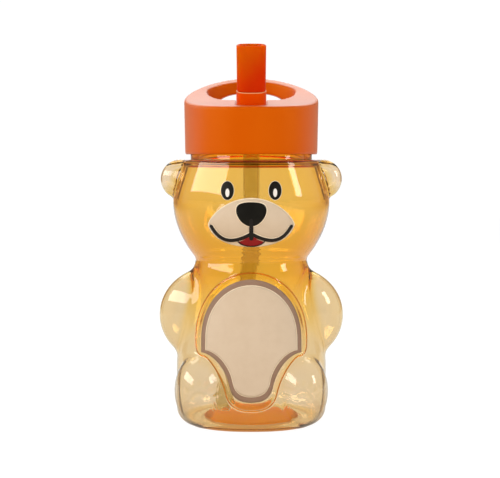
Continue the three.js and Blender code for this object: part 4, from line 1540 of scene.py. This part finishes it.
@dataclass
class PrintWork:
    """Printed face and belly, as thin films of ink on the bear's front."""

    skin: BearSkin
    ink: float = 0.10
    layer: float = 0.16
    first_lift: float = 0.05
    ring_crowding: float = 0.85
    line: float = 1.72
    line_rows: int = 6
    line_end: float = 0.05
    rim: float = 0.42
    belly_rim: Triple = (-2.75, -2.1, -2.75)
    belly_fill: Triple = (-3.1, -2.45, -3.1)
    muzzle_half: float = 21.1
    muzzle_top: float = 118.6
    muzzle_side: float = 105.5
    muzzle_bottom: float = 97.0
    muzzle_centre: Pair = (0.0, 107.0)
    muzzle_rim: Pair = (0.5, 2.5)
    nose_half: float = 7.5
    nose_top: float = 117.0
    nose_bottom: float = 105.2
    nose_centre: Pair = (0.0, 111.5)
    philtrum: float = 2.0
    philtrum_span: tuple[float, float, int] = (109.0, 98.0, 30)
    smile_half: float = 20.4
    smile_corner: float = 105.8
    smile_sag: float = 9.6
    smile_cusp: float = 101.5
    smile_steps: int = 44
    tongue_from: int = 32
    tongue_tip: float = 93.7
    tongue_centre: Pair = (0.0, 98.4)
    tongue_line: float = 0.5
    eye: Pair = (11.8, 122.7)
    eye_half: Pair = (3.18, 4.6)
    eye_rim: Pair = (3.42, 4.82)
    glint_half: Pair = (1.0, 2.12)
    glint_drop: float = 1.1

    def patch(self, name: str, outline: Outline, layer: int, rings: int = 14) -> bpy.types.Object:
        """Lays a film of ink inside an outline.

        Args:
            name: Name of the piece.
            outline: Edge of the film.
            layer: Number of films under it.
            rings: Rows of points from the middle out.

        Returns:
            The film.
        """
        count = len(outline.points)
        form = Form.tube(rings + 1, count, start_pole=True)
        row, turn = form.rows()
        edge = outline.points[np.rint(turn / FULL_TURN * count).astype(int) % count]
        share = (row / rings)[:, None] ** self.ring_crowding
        return self._film(form, outline.centre + share * (edge - outline.centre), name, layer)

    def stroke(self, name: str, path: Array, width: float, layer: int) -> bpy.types.Object:
        """Draws a line of ink with round ends.

        Args:
            name: Name of the piece.
            path: Points along the line.
            width: Width of the line.
            layer: Number of films under it.

        Returns:
            The film.
        """
        bm = bmesh.new()
        bmesh.ops.create_grid(bm, x_segments=len(path) - 1, y_segments=self.line_rows, size=0.5)
        form = Form.from_bmesh(bm)
        grid = form.points + 0.5
        place = np.rint(grid[:, 0] * (len(path) - 1)).astype(int)
        along = np.gradient(path, axis=0)
        along /= np.linalg.norm(along, axis=1)[:, None]
        side = np.stack([-along[:, 1], along[:, 0]], axis=1)
        length = np.concatenate([[0.0], np.cumsum(np.linalg.norm(np.diff(path, axis=0), axis=1))])
        to_end = np.minimum(length, length[-1] - length)
        short = np.clip(1.0 - to_end / (width / 2), 0.0, 1.0)
        fullness = np.maximum(np.sqrt(np.clip(1.0 - short**2, 0.0, 1.0)), self.line_end)
        flat = path[place] + side[place] * ((grid[:, 1:2] - 0.5) * width * fullness[place, None])
        return self._film(form, flat, name, layer)

    def _film(self, form: Form, flat: Array, name: str, layer: int) -> bpy.types.Object:
        """Lays a flat drawing on the bear and gives it the thickness of ink.

        Args:
            form: Mesh of the drawing.
            flat: Where each of its points lies, as x and z.
            name: Name of the piece.
            layer: Number of films under it.

        Returns:
            The film.
        """
        x, z = flat.T
        form.points = np.stack([x, self.skin.front(x, z, self.first_lift + layer * self.layer), z], axis=1)
        piece = form.frontward().placed(name, 60.0)
        film = piece.modifiers.new("ink", "SOLIDIFY")
        film.thickness, film.offset = self.ink * MM, 1.0
        return piece

    @staticmethod
    def oval(x: float, z: float, half: Pair, count: int = 64) -> Outline:
        """Oval outline round a middle."""
        turn = np.linspace(0.0, FULL_TURN, count, endpoint=False)
        return Outline(np.stack([x + half[0] * np.cos(turn), z + half[1] * np.sin(turn)], axis=1), (x, z))

    def muzzle(self, grow: float = 0.0, drop: float = 0.0) -> Outline:
        """Draws the pale muzzle, which drops below the smile.

        Args:
            grow: How far its top and sides are drawn outwards.
            drop: How far its bottom is drawn down.

        Returns:
            The outline.
        """
        half, top, side = self.muzzle_half + grow, self.muzzle_top + grow, self.muzzle_side
        bottom = self.muzzle_bottom - drop
        jowl, brow = 0.5 * (bottom + side), side + 0.3 * (top - side)
        curves = [
            ([(0.0, bottom), (0.65 * half, bottom), (0.93 * half, jowl), (half, side)], 30),
            ([(half, side), (0.98 * half, brow), (0.58 * half, top), (0.0, top)], 30),
        ]
        return Outline.mirrored(curves, self.muzzle_centre)

    def nose(self, grow: float = 0.0) -> Outline:
        """Draws the nose, widest above its middle.

        Args:
            grow: How far it is drawn outwards.

        Returns:
            The outline.
        """
        half, top, bottom = self.nose_half + grow, self.nose_top + grow, self.nose_bottom - grow
        wide = top + 0.35 * (bottom - top)
        curves = [
            ([(0.0, bottom), (0.55 * half, bottom), (half, wide + 0.4 * (bottom - wide)), (half, wide)], 24),
            ([(half, wide), (half, top + 0.3 * (wide - top)), (0.75 * half, top), (0.0, top)], 24),
        ]
        return Outline.mirrored(curves, self.nose_centre)

    def smile(self, side: float) -> Array:
        """Draws half of the smile.

        Args:
            side: 1 for the bear's left half and -1 for its right.

        Returns:
            Points from the corner in to the cusp under the nose.
        """
        half, cusp, low = side * self.smile_half, (0.0, self.smile_cusp), self.smile_corner - self.smile_sag
        curve = [(half, self.smile_corner), (0.76 * half, low), (0.45 * half, low), cusp]
        return np.concatenate([bezier(curve, self.smile_steps), [cusp]])

    def tongue_edge(self) -> Array:
        """Draws the lower edge of the tongue.

        Returns:
            Points from one half of the smile to the other.
        """
        start, end = self.smile(1.0)[self.tongue_from], self.smile(-1.0)[self.tongue_from]
        handles = [(0.9 * start[0], self.tongue_tip), (0.9 * end[0], self.tongue_tip)]
        return np.concatenate([bezier([tuple(start), *handles, tuple(end)], 24), [end]])

    def tongue(self) -> Outline:
        """Outline of the tongue, hung from the middle of the smile."""
        left, right = self.smile(-1.0)[self.tongue_from :], self.smile(1.0)[self.tongue_from :][::-1]
        return Outline(np.concatenate([left, right[1:], self.tongue_edge()[1:-1]]), self.tongue_centre)

    def _side_films(self, name: str, side: float) -> Iterator[Film]:
        """Prints one half of the smile and one eye.

        Args:
            name: Side that the pieces are named for.
            side: 1 for the bear's left and -1 for its right.

        Yields:
            The films in the order that they are printed.
        """
        smile = self.smile(side)
        replaced = ["mouth_print"] if side > 0 else []
        film = self.stroke(f"{name}_smile_rim_ink", smile, self.line + 2 * self.rim, 2)
        yield film, CREAM_INK, Slot.WHITE_INK, ()
        yield self.stroke(f"{name}_smile_ink", smile, self.line, 4), LINE_INK, Slot.BLACK_INK, replaced
        x, z = side * self.eye[0], self.eye[1]
        rim, eye = self.oval(x, z, self.eye_rim), self.oval(x, z, self.eye_half)
        glint = self.oval(x, z - self.glint_drop, self.glint_half, 40)
        yield self.patch(f"{name}_eye_rim_ink", rim, 0, 8), CREAM_INK, Slot.WHITE_INK, ()
        yield self.patch(f"{name}_eye_ink", eye, 1, 8), BLACK_INK, Slot.BLACK_INK, [f"{name}_eye_print"]
        film = self.patch(f"{name}_glint_ink", glint, 2, 6)
        yield film, WHITE_INK, Slot.WHITE_INK, [f"{name}_eye_glint_print"]

    def _films(self) -> Iterator[Film]:
        """Prints the belly and then the face.

        Yields:
            The films in the order that they are printed.
        """
        border = self.skin.belly.outline(0.0, 0.0, 0.0)
        rim, fill = self.skin.belly.outline(*self.belly_rim), self.skin.belly.outline(*self.belly_fill)
        yield self.patch("belly_border_ink", border, 0, 22), BROWN_INK, Slot.BROWN_INK, ["belly_border_print"]
        yield self.patch("belly_rim_ink", rim, 1, 22), CREAM_INK, Slot.WHITE_INK, ()
        yield self.patch("belly_fill_ink", fill, 2, 22), TAN_INK, Slot.TAN_INK, ["belly_fill_print"]
        film = self.patch("muzzle_rim_ink", self.muzzle(*self.muzzle_rim), 0, 18)
        yield film, CREAM_INK, Slot.WHITE_INK, ()
        yield self.patch("muzzle_ink", self.muzzle(), 1, 18), TAN_INK, Slot.TAN_INK, ["muzzle_print"]
        yield self.patch("nose_rim_ink", self.nose(self.rim), 2), CREAM_INK, Slot.WHITE_INK, ()
        yield self.patch("tongue_ink", self.tongue(), 2, 8), RED_INK, Slot.RED_INK, ["tongue_print"]
        yield from self._side_films("left", 1.0)
        yield from self._side_films("right", -1.0)
        yield self.patch("nose_ink", self.nose(), 3), BLACK_INK, Slot.BLACK_INK, ["nose_print"]
        film = self.stroke("tongue_edge_ink", self.tongue_edge(), self.tongue_line, 3)
        yield film, LINE_INK, Slot.BLACK_INK, ()
        heights = np.linspace(*self.philtrum_span)
        fall = np.stack([np.zeros_like(heights), heights], axis=1)
        yield self.stroke("philtrum_ink", fall, self.philtrum, 4), LINE_INK, Slot.BLACK_INK, ()

    def dress(self, dresser: Dresser) -> None:
        """Prints every film and hands it to the dresser."""
        for film, ink, slot, replaced in self._films():
            dresser.dress(film, ink, Body.BOTTLE, slot, replaced)


@dataclass
class ScrewLid:
    """Orange screw lid with its carry loop, and the white cap, seals and valve inside it."""

    z: float = LID_Z
    radius: float = 35.0
    draft: float = 0.5
    edge: float = 1.5
    foot_round: float = 0.3
    front_height: float = 23.9
    side_height: float = 29.2
    back_height: float = 42.2
    inner: float = 33.0
    deck_under: float = 12.9
    deck: float = 14.9
    pocket: float = 29.0
    pocket_front: float = -3.0
    pocket_front_half: float = 13.0
    pocket_arc: float = 40.0
    pocket_swell: float = 6.0
    window_y: float = 11.6
    window_half: float = 19.0
    window_spring: float = 24.0
    window_top: float = 33.2
    pivot_y: float = HINGE_Y
    pivot_z: float = HINGE_Z - LID_Z
    cradle: Pair = (7.75, 6.4)
    cradle_round: float = 6.5
    slot_ease: float = 0.6
    clear_of: float = 80.0
    voxel: float = 0.62
    softening: int = 7
    cap_hole: float = 1.3
    cap_under: float = 10.4
    cap_top: float = 12.6
    cap_edge: float = 0.5
    cap_fillet: float = 0.2
    plug: Pair = (24.8, 26.9)
    plug_length: float = 5.0
    plug_edge: float = 0.4
    skirt: Pair = (31.5, 32.7)
    skirt_z: float = 1.0
    skirt_edge: float = 0.3
    thread_rise: float = 0.35
    thread_root: float = 0.2
    thread_start: float = 2.0
    thread_turns: float = 1.3
    socket_radii: Pair = (4.2, 5.4)
    socket_z: Pair = (0.4, 10.6)

    def top(self, y: Array) -> Array:
        """Follows the scooped top.

        Args:
            y: Places front to back.

        Returns:
            Its height over the lid's lower edge.
        """
        share = y / self.radius
        slope = (self.back_height - self.front_height) / 2
        bend = (self.back_height + self.front_height) / 2 - self.side_height
        return self.side_height + slope * share + bend * share * share

    def blank(self) -> Form:
        """Models the round block that the lid is cut from.

        Returns:
            The block, with a top that follows the scoop.
        """
        height, foot = self.side_height, self.radius - self.draft
        profile = [(0.0, 0.0), (20.0, 0.0), (foot - self.foot_round, 0.0), (foot, self.foot_round)]
        side = np.linspace(4.0, height - 4.0, 6)
        profile += [(self.radius - self.draft * (1 - z / height), z) for z in side]
        profile += arc((self.radius - self.edge, height - self.edge), self.edge, 0, 90, 6)
        profile += [(radius, height) for radius in np.linspace(self.radius - 4.0, 3.0, 12)] + [(0.0, height)]
        form = lathe(profile, 160, ring=False)
        places = form.points
        places[:, 2] = places[:, 2] / height * self.top(places[:, 1])
        form.points = places
        return form

    @staticmethod
    def _prism(outline: Array, low: float, high: float, turn: Matrix) -> Form:
        """Draws a flat outline out along its normal.

        Args:
            outline: Points of the outline.
            low: Height that it starts at.
            high: Height that it ends at.
            turn: Rotation of the finished prism.

        Returns:
            The closed prism.
        """
        bm = bmesh.new()
        face = bm.faces.new([bm.verts.new((x, y, low)) for x, y in outline])
        drawn = bmesh.ops.extrude_face_region(bm, geom=[face])["geom"]
        lifted = [element for element in drawn if isinstance(element, bmesh.types.BMVert)]
        bmesh.ops.translate(bm, vec=(0, 0, high - low), verts=lifted)
        bmesh.ops.recalc_face_normals(bm, faces=bm.faces)
        bmesh.ops.transform(bm, matrix=turn, verts=bm.verts)
        return Form.from_bmesh(bm)

    def pocket_outline(self) -> Array:
        """Draws the pocket from above: straight in front, swelling at the sides and round at the back.

        Returns:
            The points of the outline.
        """
        turn = math.radians(self.pocket_arc)
        half, front, swell = self.pocket_front_half, self.pocket_front, self.pocket_swell
        side_x, side_y = self.pocket * math.cos(turn), self.pocket * math.sin(turn)
        swollen = (side_x + swell * math.sin(turn), side_y - swell * math.cos(turn))
        corner = (half + 0.7 * (side_x - half), front)
        right = bezier([(half, front), corner, swollen, (side_x, side_y)], 24)
        round_back = np.linspace(turn, math.pi - turn, 48)
        back = np.stack([self.pocket * np.cos(round_back), self.pocket * np.sin(round_back)], axis=1)
        return np.concatenate([right, back, right[::-1] * (-1.0, 1.0)])

    def window_outline(self) -> Array:
        """Draws the arched window under the loop, seen from the front.

        Returns:
            The points of the outline.
        """
        half, spring, top = self.window_half, self.window_spring, self.window_top
        handle = spring + 0.75 * (top - spring)
        right = bezier([(half, spring), (half, handle), (0.6 * half, top), (0.0, top)], 20)
        left = bezier([(0.0, top), (-0.6 * half, top), (-half, handle), (-half, spring)], 20)
        return np.concatenate([[(-half, self.deck), (half, self.deck)], right, left, [(-half, spring)]])

    def slot_outline(self) -> Array:
        """Draws the slot that the spout swings through, seen from the side.

        Returns:
            The points of the outline.
        """
        back, reach = self.pocket_front + self.slot_ease, self.clear_of
        ahead = self.pivot_y - reach * math.tan(math.radians(SPOUT_LEAN))
        return np.array(
            [
                (self.pivot_y, self.deck),
                (back, self.deck),
                (back, reach),
                (ahead, self.pivot_z + reach),
                (self.pivot_y, self.pivot_z),
            ]
        )

    def cutters(self) -> list[Form]:
        """Models the shapes that are cut out of the blank.

        Returns:
            The hollow, the pocket, the window and the three shapes of the spout's cradle.
        """
        turn = np.linspace(0, FULL_TURN, 96, endpoint=False)
        circle = np.stack([np.cos(turn), np.sin(turn)], axis=1)
        half, clear = self.cradle[0], self.clear_of
        upright, forward = Matrix.Identity(4), Matrix.Rotation(RIGHT_ANGLE, 4, "X")
        at_pivot = Matrix.Translation((0, self.pivot_y, self.pivot_z))
        leaning = at_pivot @ Matrix.Rotation(math.radians(SPOUT_LEAN), 4, "X")
        across = at_pivot @ Matrix.Rotation(RIGHT_ANGLE, 4, "Y")
        sideways = Matrix(((0, 0, 1, 0), (1, 0, 0, 0), (0, 1, 0, 0), (0, 0, 0, 1)))
        return [
            self._prism(circle * self.inner, -1.0, self.deck_under, upright),
            self._prism(self.pocket_outline(), self.deck, clear, upright),
            self._prism(self.window_outline(), -clear, -self.window_y, forward),
            self._prism(circle * self.cradle, 0.0, clear, leaning),
            self._prism(self.slot_outline(), -half, half, sideways),
            self._prism(circle * self.cradle_round, -half, half, across),
        ]

    def shell(self) -> Form:
        """Models the orange shell: the blank less its cutters, with softened edges.

        Returns:
            The shell.
        """
        shell = self.blank()
        for cutter in self.cutters():
            shell = shell.cut(cutter)
        return shell.softened(self.voxel, self.softening).moved(Matrix.Translation((0, 0, self.z)))

    def cap(self) -> Form:
        """Models the white inner cap with its plug, skirt and rounded edges.

        Returns:
            The cap, open in the middle for the valve.
        """
        under, top, low, foot = self.cap_under, self.cap_top, self.skirt_z, self.cap_under - self.plug_length
        (plug_in, plug_out), plug_edge, fillet = self.plug, self.plug_edge, self.cap_fillet
        (skirt_in, skirt_out), skirt_edge, edge = self.skirt, self.skirt_edge, self.cap_edge
        under_plate = [(self.cap_hole, under), (plug_in - fillet, under)]
        plug = [
            (plug_in, under - fillet), (plug_in, foot + plug_edge), (plug_in + plug_edge, foot),
            (plug_out - plug_edge, foot), (plug_out, foot + plug_edge), (plug_out, under - fillet),
            (plug_out + fillet, under),
        ]
        skirt = [
            (skirt_in - fillet, under), (skirt_in, under - fillet), (skirt_in, low + skirt_edge),
            (skirt_in + skirt_edge, low), (skirt_out - skirt_edge, low), (skirt_out, low + skirt_edge),
        ]
        over_plate = [(skirt_out, top - edge), (skirt_out - edge, top), (self.cap_hole, top)]
        profile = under_plate + plug + skirt + over_plate
        return lathe([(radius, self.z + height) for radius, height in profile], 120)

    def cap_thread(self) -> Form:
        """Models the thread inside the skirt of the cap."""
        root, crest = self.skirt[0] + self.thread_root, self.skirt[0] - self.thread_rise
        return THREAD.wound(root, crest, self.z + self.thread_start, self.thread_turns, 120)

    def socket(self) -> Form:
        """Models the collar under the cap that holds the straw.

        Returns:
            The collar.
        """
        (low, high), (inside, outside) = self.socket_z, self.socket_radii
        low, high = self.z + low, self.z + high
        lip = [(inside, low + 0.5), (inside + 0.3, low), (outside - 0.4, low), (outside, low + 0.4)]
        return lathe([(inside, high), *lip, (outside, high)], 48, (0.0, STRAW_Y))

    def dress(self, dresser: Dresser) -> None:
        """Builds the lid and hands its pieces to the dresser.

        Args:
            dresser: Gives each piece its finish and body.
        """
        body, slot = Body.LID, Slot.INNER_CAP
        shell = self.shell().placed("lid_orange_shell", 70.0)
        dresser.dress(shell, LID_ORANGE, body, Slot.ORANGE_LID, ["lid_shell"])
        dresser.dress(self.cap().placed("inner_cap"), CAP_WHITE, body, slot, ["lid_inner_cap"])
        dresser.dress(self.cap_thread().placed("inner_cap_thread", 30.0), CAP_WHITE, body, slot)
        dresser.dress(self.socket().placed("straw_socket"), CAP_WHITE, body, slot)
        for node, carrier in (("lid_gasket", Body.GASKET), ("vent_valve", Body.VALVE), ("spout_seal", body)):
            dresser.dress(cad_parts[node], CLEAR_SILICONE, carrier, Slot.CLEAR_SEAL)


@dataclass
class FlipSpout:
    """Hinged orange spout: a firm base in the cradle and a soft flattened mouthpiece on it."""

    pivot: Triple = (0.0, HINGE_Y, HINGE_Z)
    base: Pair = (7.6, 6.1)
    base_squareness: float = 2.2
    stem_top: float = 11.2
    bore: float = 2.3
    spigot: float = 3.9
    spigot_length: float = 8.5
    tip: Pair = (7.8, 4.3)
    tip_squareness: float = 2.7
    tip_rows: tuple[float, ...] = (0.012, 0.03, 0.055, 0.08, 0.10, 0.2, 0.35, 0.5, 0.65, 0.8, 0.9, 0.95)
    ledge: float = 0.32
    seat_gap: float = 0.03
    length: float = 23.4
    wall: float = 1.5
    mouth_depth: float = 6.0
    throat: Pair = (4.4, 3.6)
    throat_height: float = 9.0
    ring_radius: float = 0.24
    ring_inset: float = 0.3
    ring_drop: float = 0.02
    ring_squareness: float = 2.4
    barrel_half: float = 6.6
    barrel_radius: float = 6.2
    barrel_round: float = 0.5
    pin: float = 2.0
    pin_reach: float = 10.35
    pin_edge: float = 0.3
    columns: int = 72

    def _sleeve(self, rows: Sequence[Triple], squareness: float) -> Form:
        """Models a closed wall that stands on the hinge and leans with the spout.

        Args:
            rows: Half width, half depth and height along the spout, round the wall's section.
            squareness: 2 for an oval section, and more for a squarer one.

        Returns:
            The closed wall in its place.
        """
        form = Form.tube(len(rows), self.columns, ring=True)
        row, turn = form.rows()
        width, depth, z = np.array(rows).T
        cos, sin, power = np.cos(turn), np.sin(turn), 2.0 / squareness
        x = width[row] * np.sign(cos) * np.abs(cos) ** power
        y = depth[row] * np.sign(sin) * np.abs(sin) ** power
        form.points = np.stack([x, y, z[row]], axis=1)
        lean = Matrix.Rotation(math.radians(SPOUT_LEAN), 4, "X")
        return form.outward().moved(Matrix.Translation(self.pivot) @ lean)

    def mouthpiece(self) -> Form:
        """Models the soft sleeve with its rounded open tip.

        Returns:
            The sleeve.
        """
        low = self.stem_top + self.seat_gap
        high, half_wall = low + self.length, self.wall / 2
        rows = []
        for share in self.tip_rows:
            width, depth = (mix(start, end, share) - self.ledge for start, end in zip(self.base, self.tip))
            rows.append((width, depth, low + share * self.length))
        width, depth = self.tip[0] - self.ledge, self.tip[1] - self.ledge
        for inset, drop in arc((0.0, 0.0), half_wall, 0, 180, 8):
            rows.append((width - half_wall + inset, depth - half_wall + inset, high - half_wall + drop))
        rows.append((width - self.wall, depth - self.wall, high - self.mouth_depth))
        rows += [(*self.throat, low + self.throat_height), (self.throat[0], self.throat[0], low)]
        return self._sleeve(rows, self.tip_squareness)

    def stem(self) -> Form:
        """Models the firm oval stem, with the spigot that the mouthpiece is pushed on to.

        Returns:
            The stem.
        """
        (width, depth), top, spigot = self.base, self.stem_top, self.spigot
        end = top + self.spigot_length
        outside = [
            (1.0, -1.0), (0.2, 0.0), (0.0, 2.0), (0.0, top - 0.5), (0.08, top - 0.22), (0.3, top), (0.8, top),
        ]
        upper = [
            (spigot + 0.3, top), (spigot, top + 0.4), (spigot, end - 0.5),
            (spigot - 0.5, end), (self.bore, end),
        ]
        rows = [(self.bore, self.bore, -1.0)]
        rows += [(width - inset, depth - inset, z) for inset, z in outside]
        rows += [(radius, radius, z) for radius, z in upper]
        return self._sleeve(rows, self.base_squareness)

    def ring(self) -> Form:
        """Models a fine raised ring where the mouthpiece meets the stem, dressed pale as a painted highlight
        along the stem's top edge.

        Returns:
            The ring.
        """
        width, depth = self.base[0] - self.ring_inset, self.base[1] - self.ring_inset
        top = self.stem_top - self.ring_drop
        section = arc((0.0, 0.0), self.ring_radius, 0, 330, 11)
        rows = [(width + out, depth + out, top + rise) for out, rise in section]
        return self._sleeve(rows, self.ring_squareness)

    def barrel(self) -> Form:
        """Models the hinge barrel with its two pins, lying across the spout.

        Returns:
            The barrel.
        """
        half, reach, pin, edge = self.barrel_half, self.pin_reach, self.pin, self.pin_edge
        corner = self.barrel_round
        inner = self.barrel_radius - corner
        profile = [(0.0, -reach), (pin - edge, -reach), (pin, -reach + edge), (pin, -half)]
        profile += arc((inner, -half + corner), corner, 270, 360, 3)
        profile += arc((inner, half - corner), corner, 0, 90, 3)
        profile += [(pin, half), (pin, reach - edge), (pin - edge, reach), (0.0, reach)]
        across = Matrix.Translation(self.pivot) @ Matrix.Rotation(RIGHT_ANGLE, 4, "Y")
        return lathe(profile, 64, ring=False).moved(across)

    def dress(self, dresser: Dresser) -> None:
        """Builds the spout and hands its pieces to the dresser.

        Args:
            dresser: Gives each piece its finish and body.
        """
        body, slot = Body.SPOUT, Slot.ORANGE_SPOUT
        mouthpiece = self.mouthpiece().placed("soft_mouthpiece", 50.0)
        dresser.dress(mouthpiece, SOFT_ORANGE, body, Slot.SOFT_SPOUT, ["mouthpiece"])
        dresser.dress(self.stem().placed("spout_stem"), SPOUT_ORANGE, body, slot, ["spout_base"])
        # Ring of painted highlight at the top of the stem.
        dresser.dress(self.ring().placed("spout_highlight_ring"), RING_HIGHLIGHT, body, slot)
        dresser.dress(self.barrel().placed("spout_barrel"), SPOUT_ORANGE, body, slot)


@dataclass
class DrinkingStraw:
    """See-through straw: straight from its socket, bent at a bellows, then straight to the floor."""

    radius: float = 4.1
    wall: float = 0.8
    top: Triple = (0.0, STRAW_Y, 150.6)
    bend_z: float = 93.0
    bellows: float = 10.0
    ribs: int = 5
    rib_rows: int = 10
    crest: float = 0.8
    foot: Triple = (-15.0, -5.0, 7.3)
    columns: int = 40

    def tube(self) -> Form:
        """Models the straw.

        Returns:
            Its closed wall, down the outside and back up the inside.
        """
        top, foot, upright = np.array(self.top), np.array(self.foot), np.array([0.0, 0.0, -1.0])
        bend = np.array([top[0], top[1], self.bend_z])
        middle = bend + upright * self.bellows / 2
        down = (foot - middle) / np.linalg.norm(foot - middle)
        after = middle + down * self.bellows / 2
        hinge = np.cross(upright, down)
        hinge /= np.linalg.norm(hinge)
        stations: list[tuple[Array, Array, float]] = [(top, upright, 0.0)]
        for share in np.linspace(0.0, 1.0, self.rib_rows * self.ribs + 1):
            point = bend * (1 - share) ** 2 + 2 * middle * share * (1 - share) + after * share**2
            along = (middle - bend) * (1 - share) + (after - middle) * share
            swell = self.crest * (0.5 - 0.5 * math.cos(FULL_TURN * self.ribs * share))
            stations.append((point, along / np.linalg.norm(along), swell))
        stations.append((foot, down, 0.0))
        walls = stations + stations[::-1]
        form = Form.tube(len(walls), self.columns, ring=True)
        row, turn = form.rows()
        centre = np.array([point for point, _, _ in walls])
        across = np.array([np.cross(hinge, along) for _, along, _ in walls])
        inward = np.where(np.arange(len(walls)) < len(stations), 0.0, self.wall)
        radius = self.radius + np.array([swell for _, _, swell in walls]) - inward
        outward = np.cos(turn)[:, None] * hinge + np.sin(turn)[:, None] * across[row]
        form.points = centre[row] + radius[row, None] * outward
        return form.outward()

    def dress(self, dresser: Dresser) -> None:
        """Builds the straw and hands it to the dresser."""
        dresser.dress(self.tube().placed("bendy_straw", 50.0), TUBING, Body.LID, Slot.CLEAR_STRAW, ["straw"])


@dataclass(frozen=True)
class SoftBox:
    """Rectangular light, in metres and watts, that may stay out of reflections."""

    name: str
    place: Triple
    size: Pair
    power: float
    colour: Triple = (1.0, 1.0, 1.0)
    reflected: bool = True

    def hang(self, target: Vector) -> None:
        """Hangs the light so that it faces a target.

        Args:
            target: Place that it faces, in metres.
        """
        light = bpy.data.lights.new(self.name, "AREA")
        light.shape = "RECTANGLE"
        light.size, light.size_y = self.size
        light.energy, light.color = self.power, self.colour
        lamp = bpy.data.objects.new(self.name, light)
        lamp.location = self.place
        lamp.rotation_euler = (target - Vector(self.place)).to_track_quat("-Z", "Y").to_euler()
        lamp.visible_camera = False
        lamp.visible_glossy = lamp.visible_transmission = self.reflected
        bpy.context.scene.collection.objects.link(lamp)


@dataclass
class Studio:
    """White floor and backdrop, soft boxes and the camera at the photographed angle."""

    camera_y: float = -650.0
    camera_z: float = 140.5
    camera_pitch: float = 3.9
    focal_pixels: float = 1240.0
    image_width: float = 500.0
    off_centre_pixels: float = 1.3
    sensor: float = 36.0
    clip: Pair = (0.01, 100.0)
    near: Colour = (0.14, 0.085, 0.045, 1.0)
    far: Colour = grey(0.5)
    far_span: Pair = (-0.7, 0.5)
    sheet_size: float = 8.0
    backdrop_y: float = 2.2
    target: Triple = (0.0, 0.0, 0.11)
    boxes: tuple[SoftBox, ...] = (
        SoftBox("key_box", (-0.80, -0.28, 0.47), (1.0, 0.30), 5.0, (1.0, 0.96, 0.93)),
        SoftBox("strip_box", (0.78, -0.26, 0.42), (0.16, 0.32), 1.2, (1.0, 0.98, 0.95)),
        SoftBox("top_box", (-0.05, 0.72, 1.0), (1.4, 0.7), 5.8, (1.0, 1.0, 0.97)),
        SoftBox("fill_box", (0.3, -1.05, 0.35), (0.9, 0.8), 6.8, reflected=False),
    )

    def _sheet(self, finish: StudioPaper, matrix: Matrix) -> None:
        """Adds a plain sheet of studio paper.

        Args:
            finish: Paper that it is made of.
            matrix: Where it stands, in metres.
        """
        bm = bmesh.new()
        bmesh.ops.create_grid(bm, x_segments=1, y_segments=1, size=self.sheet_size / 2)
        sheet = Form.from_bmesh(bm).moved(matrix).linked(finish.name)
        sheet.data.materials.append(finish.material())

    def _surroundings(self) -> bpy.types.World:
        """Makes a dim room, darker towards the camera, that the camera itself sees as white.

        Returns:
            The room.
        """
        graph = Graph(bpy.data.worlds.new("studio"))
        direction = graph.value("ShaderNodeTexCoord", output="Generated")
        ahead = graph.value("ShaderNodeSeparateXYZ", inputs={0: direction}, output=1)
        room = graph.blend(ahead.rise(*self.far_span), self.near, self.far)
        seen = graph.blend(graph.direct(), room, grey(1.0))
        light = graph.value("ShaderNodeBackground", inputs={"Color": seen})
        graph.node("ShaderNodeOutputWorld", inputs={"Surface": light})
        return graph.owner

    def _camera(self) -> bpy.types.Object:
        """Stands the camera where the photograph was taken from.

        Returns:
            The camera.
        """
        data = bpy.data.cameras.new("camera")
        data.sensor_fit, data.sensor_width = "HORIZONTAL", self.sensor
        data.lens = self.sensor * self.focal_pixels / self.image_width
        data.shift_x = -self.off_centre_pixels / self.image_width
        data.clip_start, data.clip_end = self.clip
        camera = bpy.data.objects.new("camera", data)
        camera.location = Vector((0.0, self.camera_y, self.camera_z)) * MM
        camera.rotation_euler = (math.radians(90.0 - self.camera_pitch), 0.0, 0.0)
        bpy.context.scene.collection.objects.link(camera)
        return camera

    def build(self) -> None:
        """Sets up the surroundings, floor, backdrop, lights and camera."""
        scene = bpy.context.scene
        scene.view_settings.view_transform = "Standard"
        scene.world = self._surroundings()
        upright = Matrix.Translation((0, self.backdrop_y, 0)) @ Matrix.Rotation(RIGHT_ANGLE, 4, "X")
        self._sheet(FLOOR_PAPER, Matrix.Identity(4))
        self._sheet(BACKDROP_PAPER, upright)
        for box in self.boxes:
            box.hang(Vector(self.target))
        scene.camera = self._camera()


def main() -> None:
    """Builds the studio and the bottle, piece by piece."""
    logging.basicConfig(level=logging.INFO, format="%(name)s: %(message)s")
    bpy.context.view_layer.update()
    Studio().build()
    dresser = Dresser()
    skin = BearSkin()
    for assembly in (BearBottle(skin), PrintWork(skin), ScrewLid(), FlipSpout(), DrinkingStraw()):
        assembly.dress(dresser)


if __name__ == "__main__":
    main()
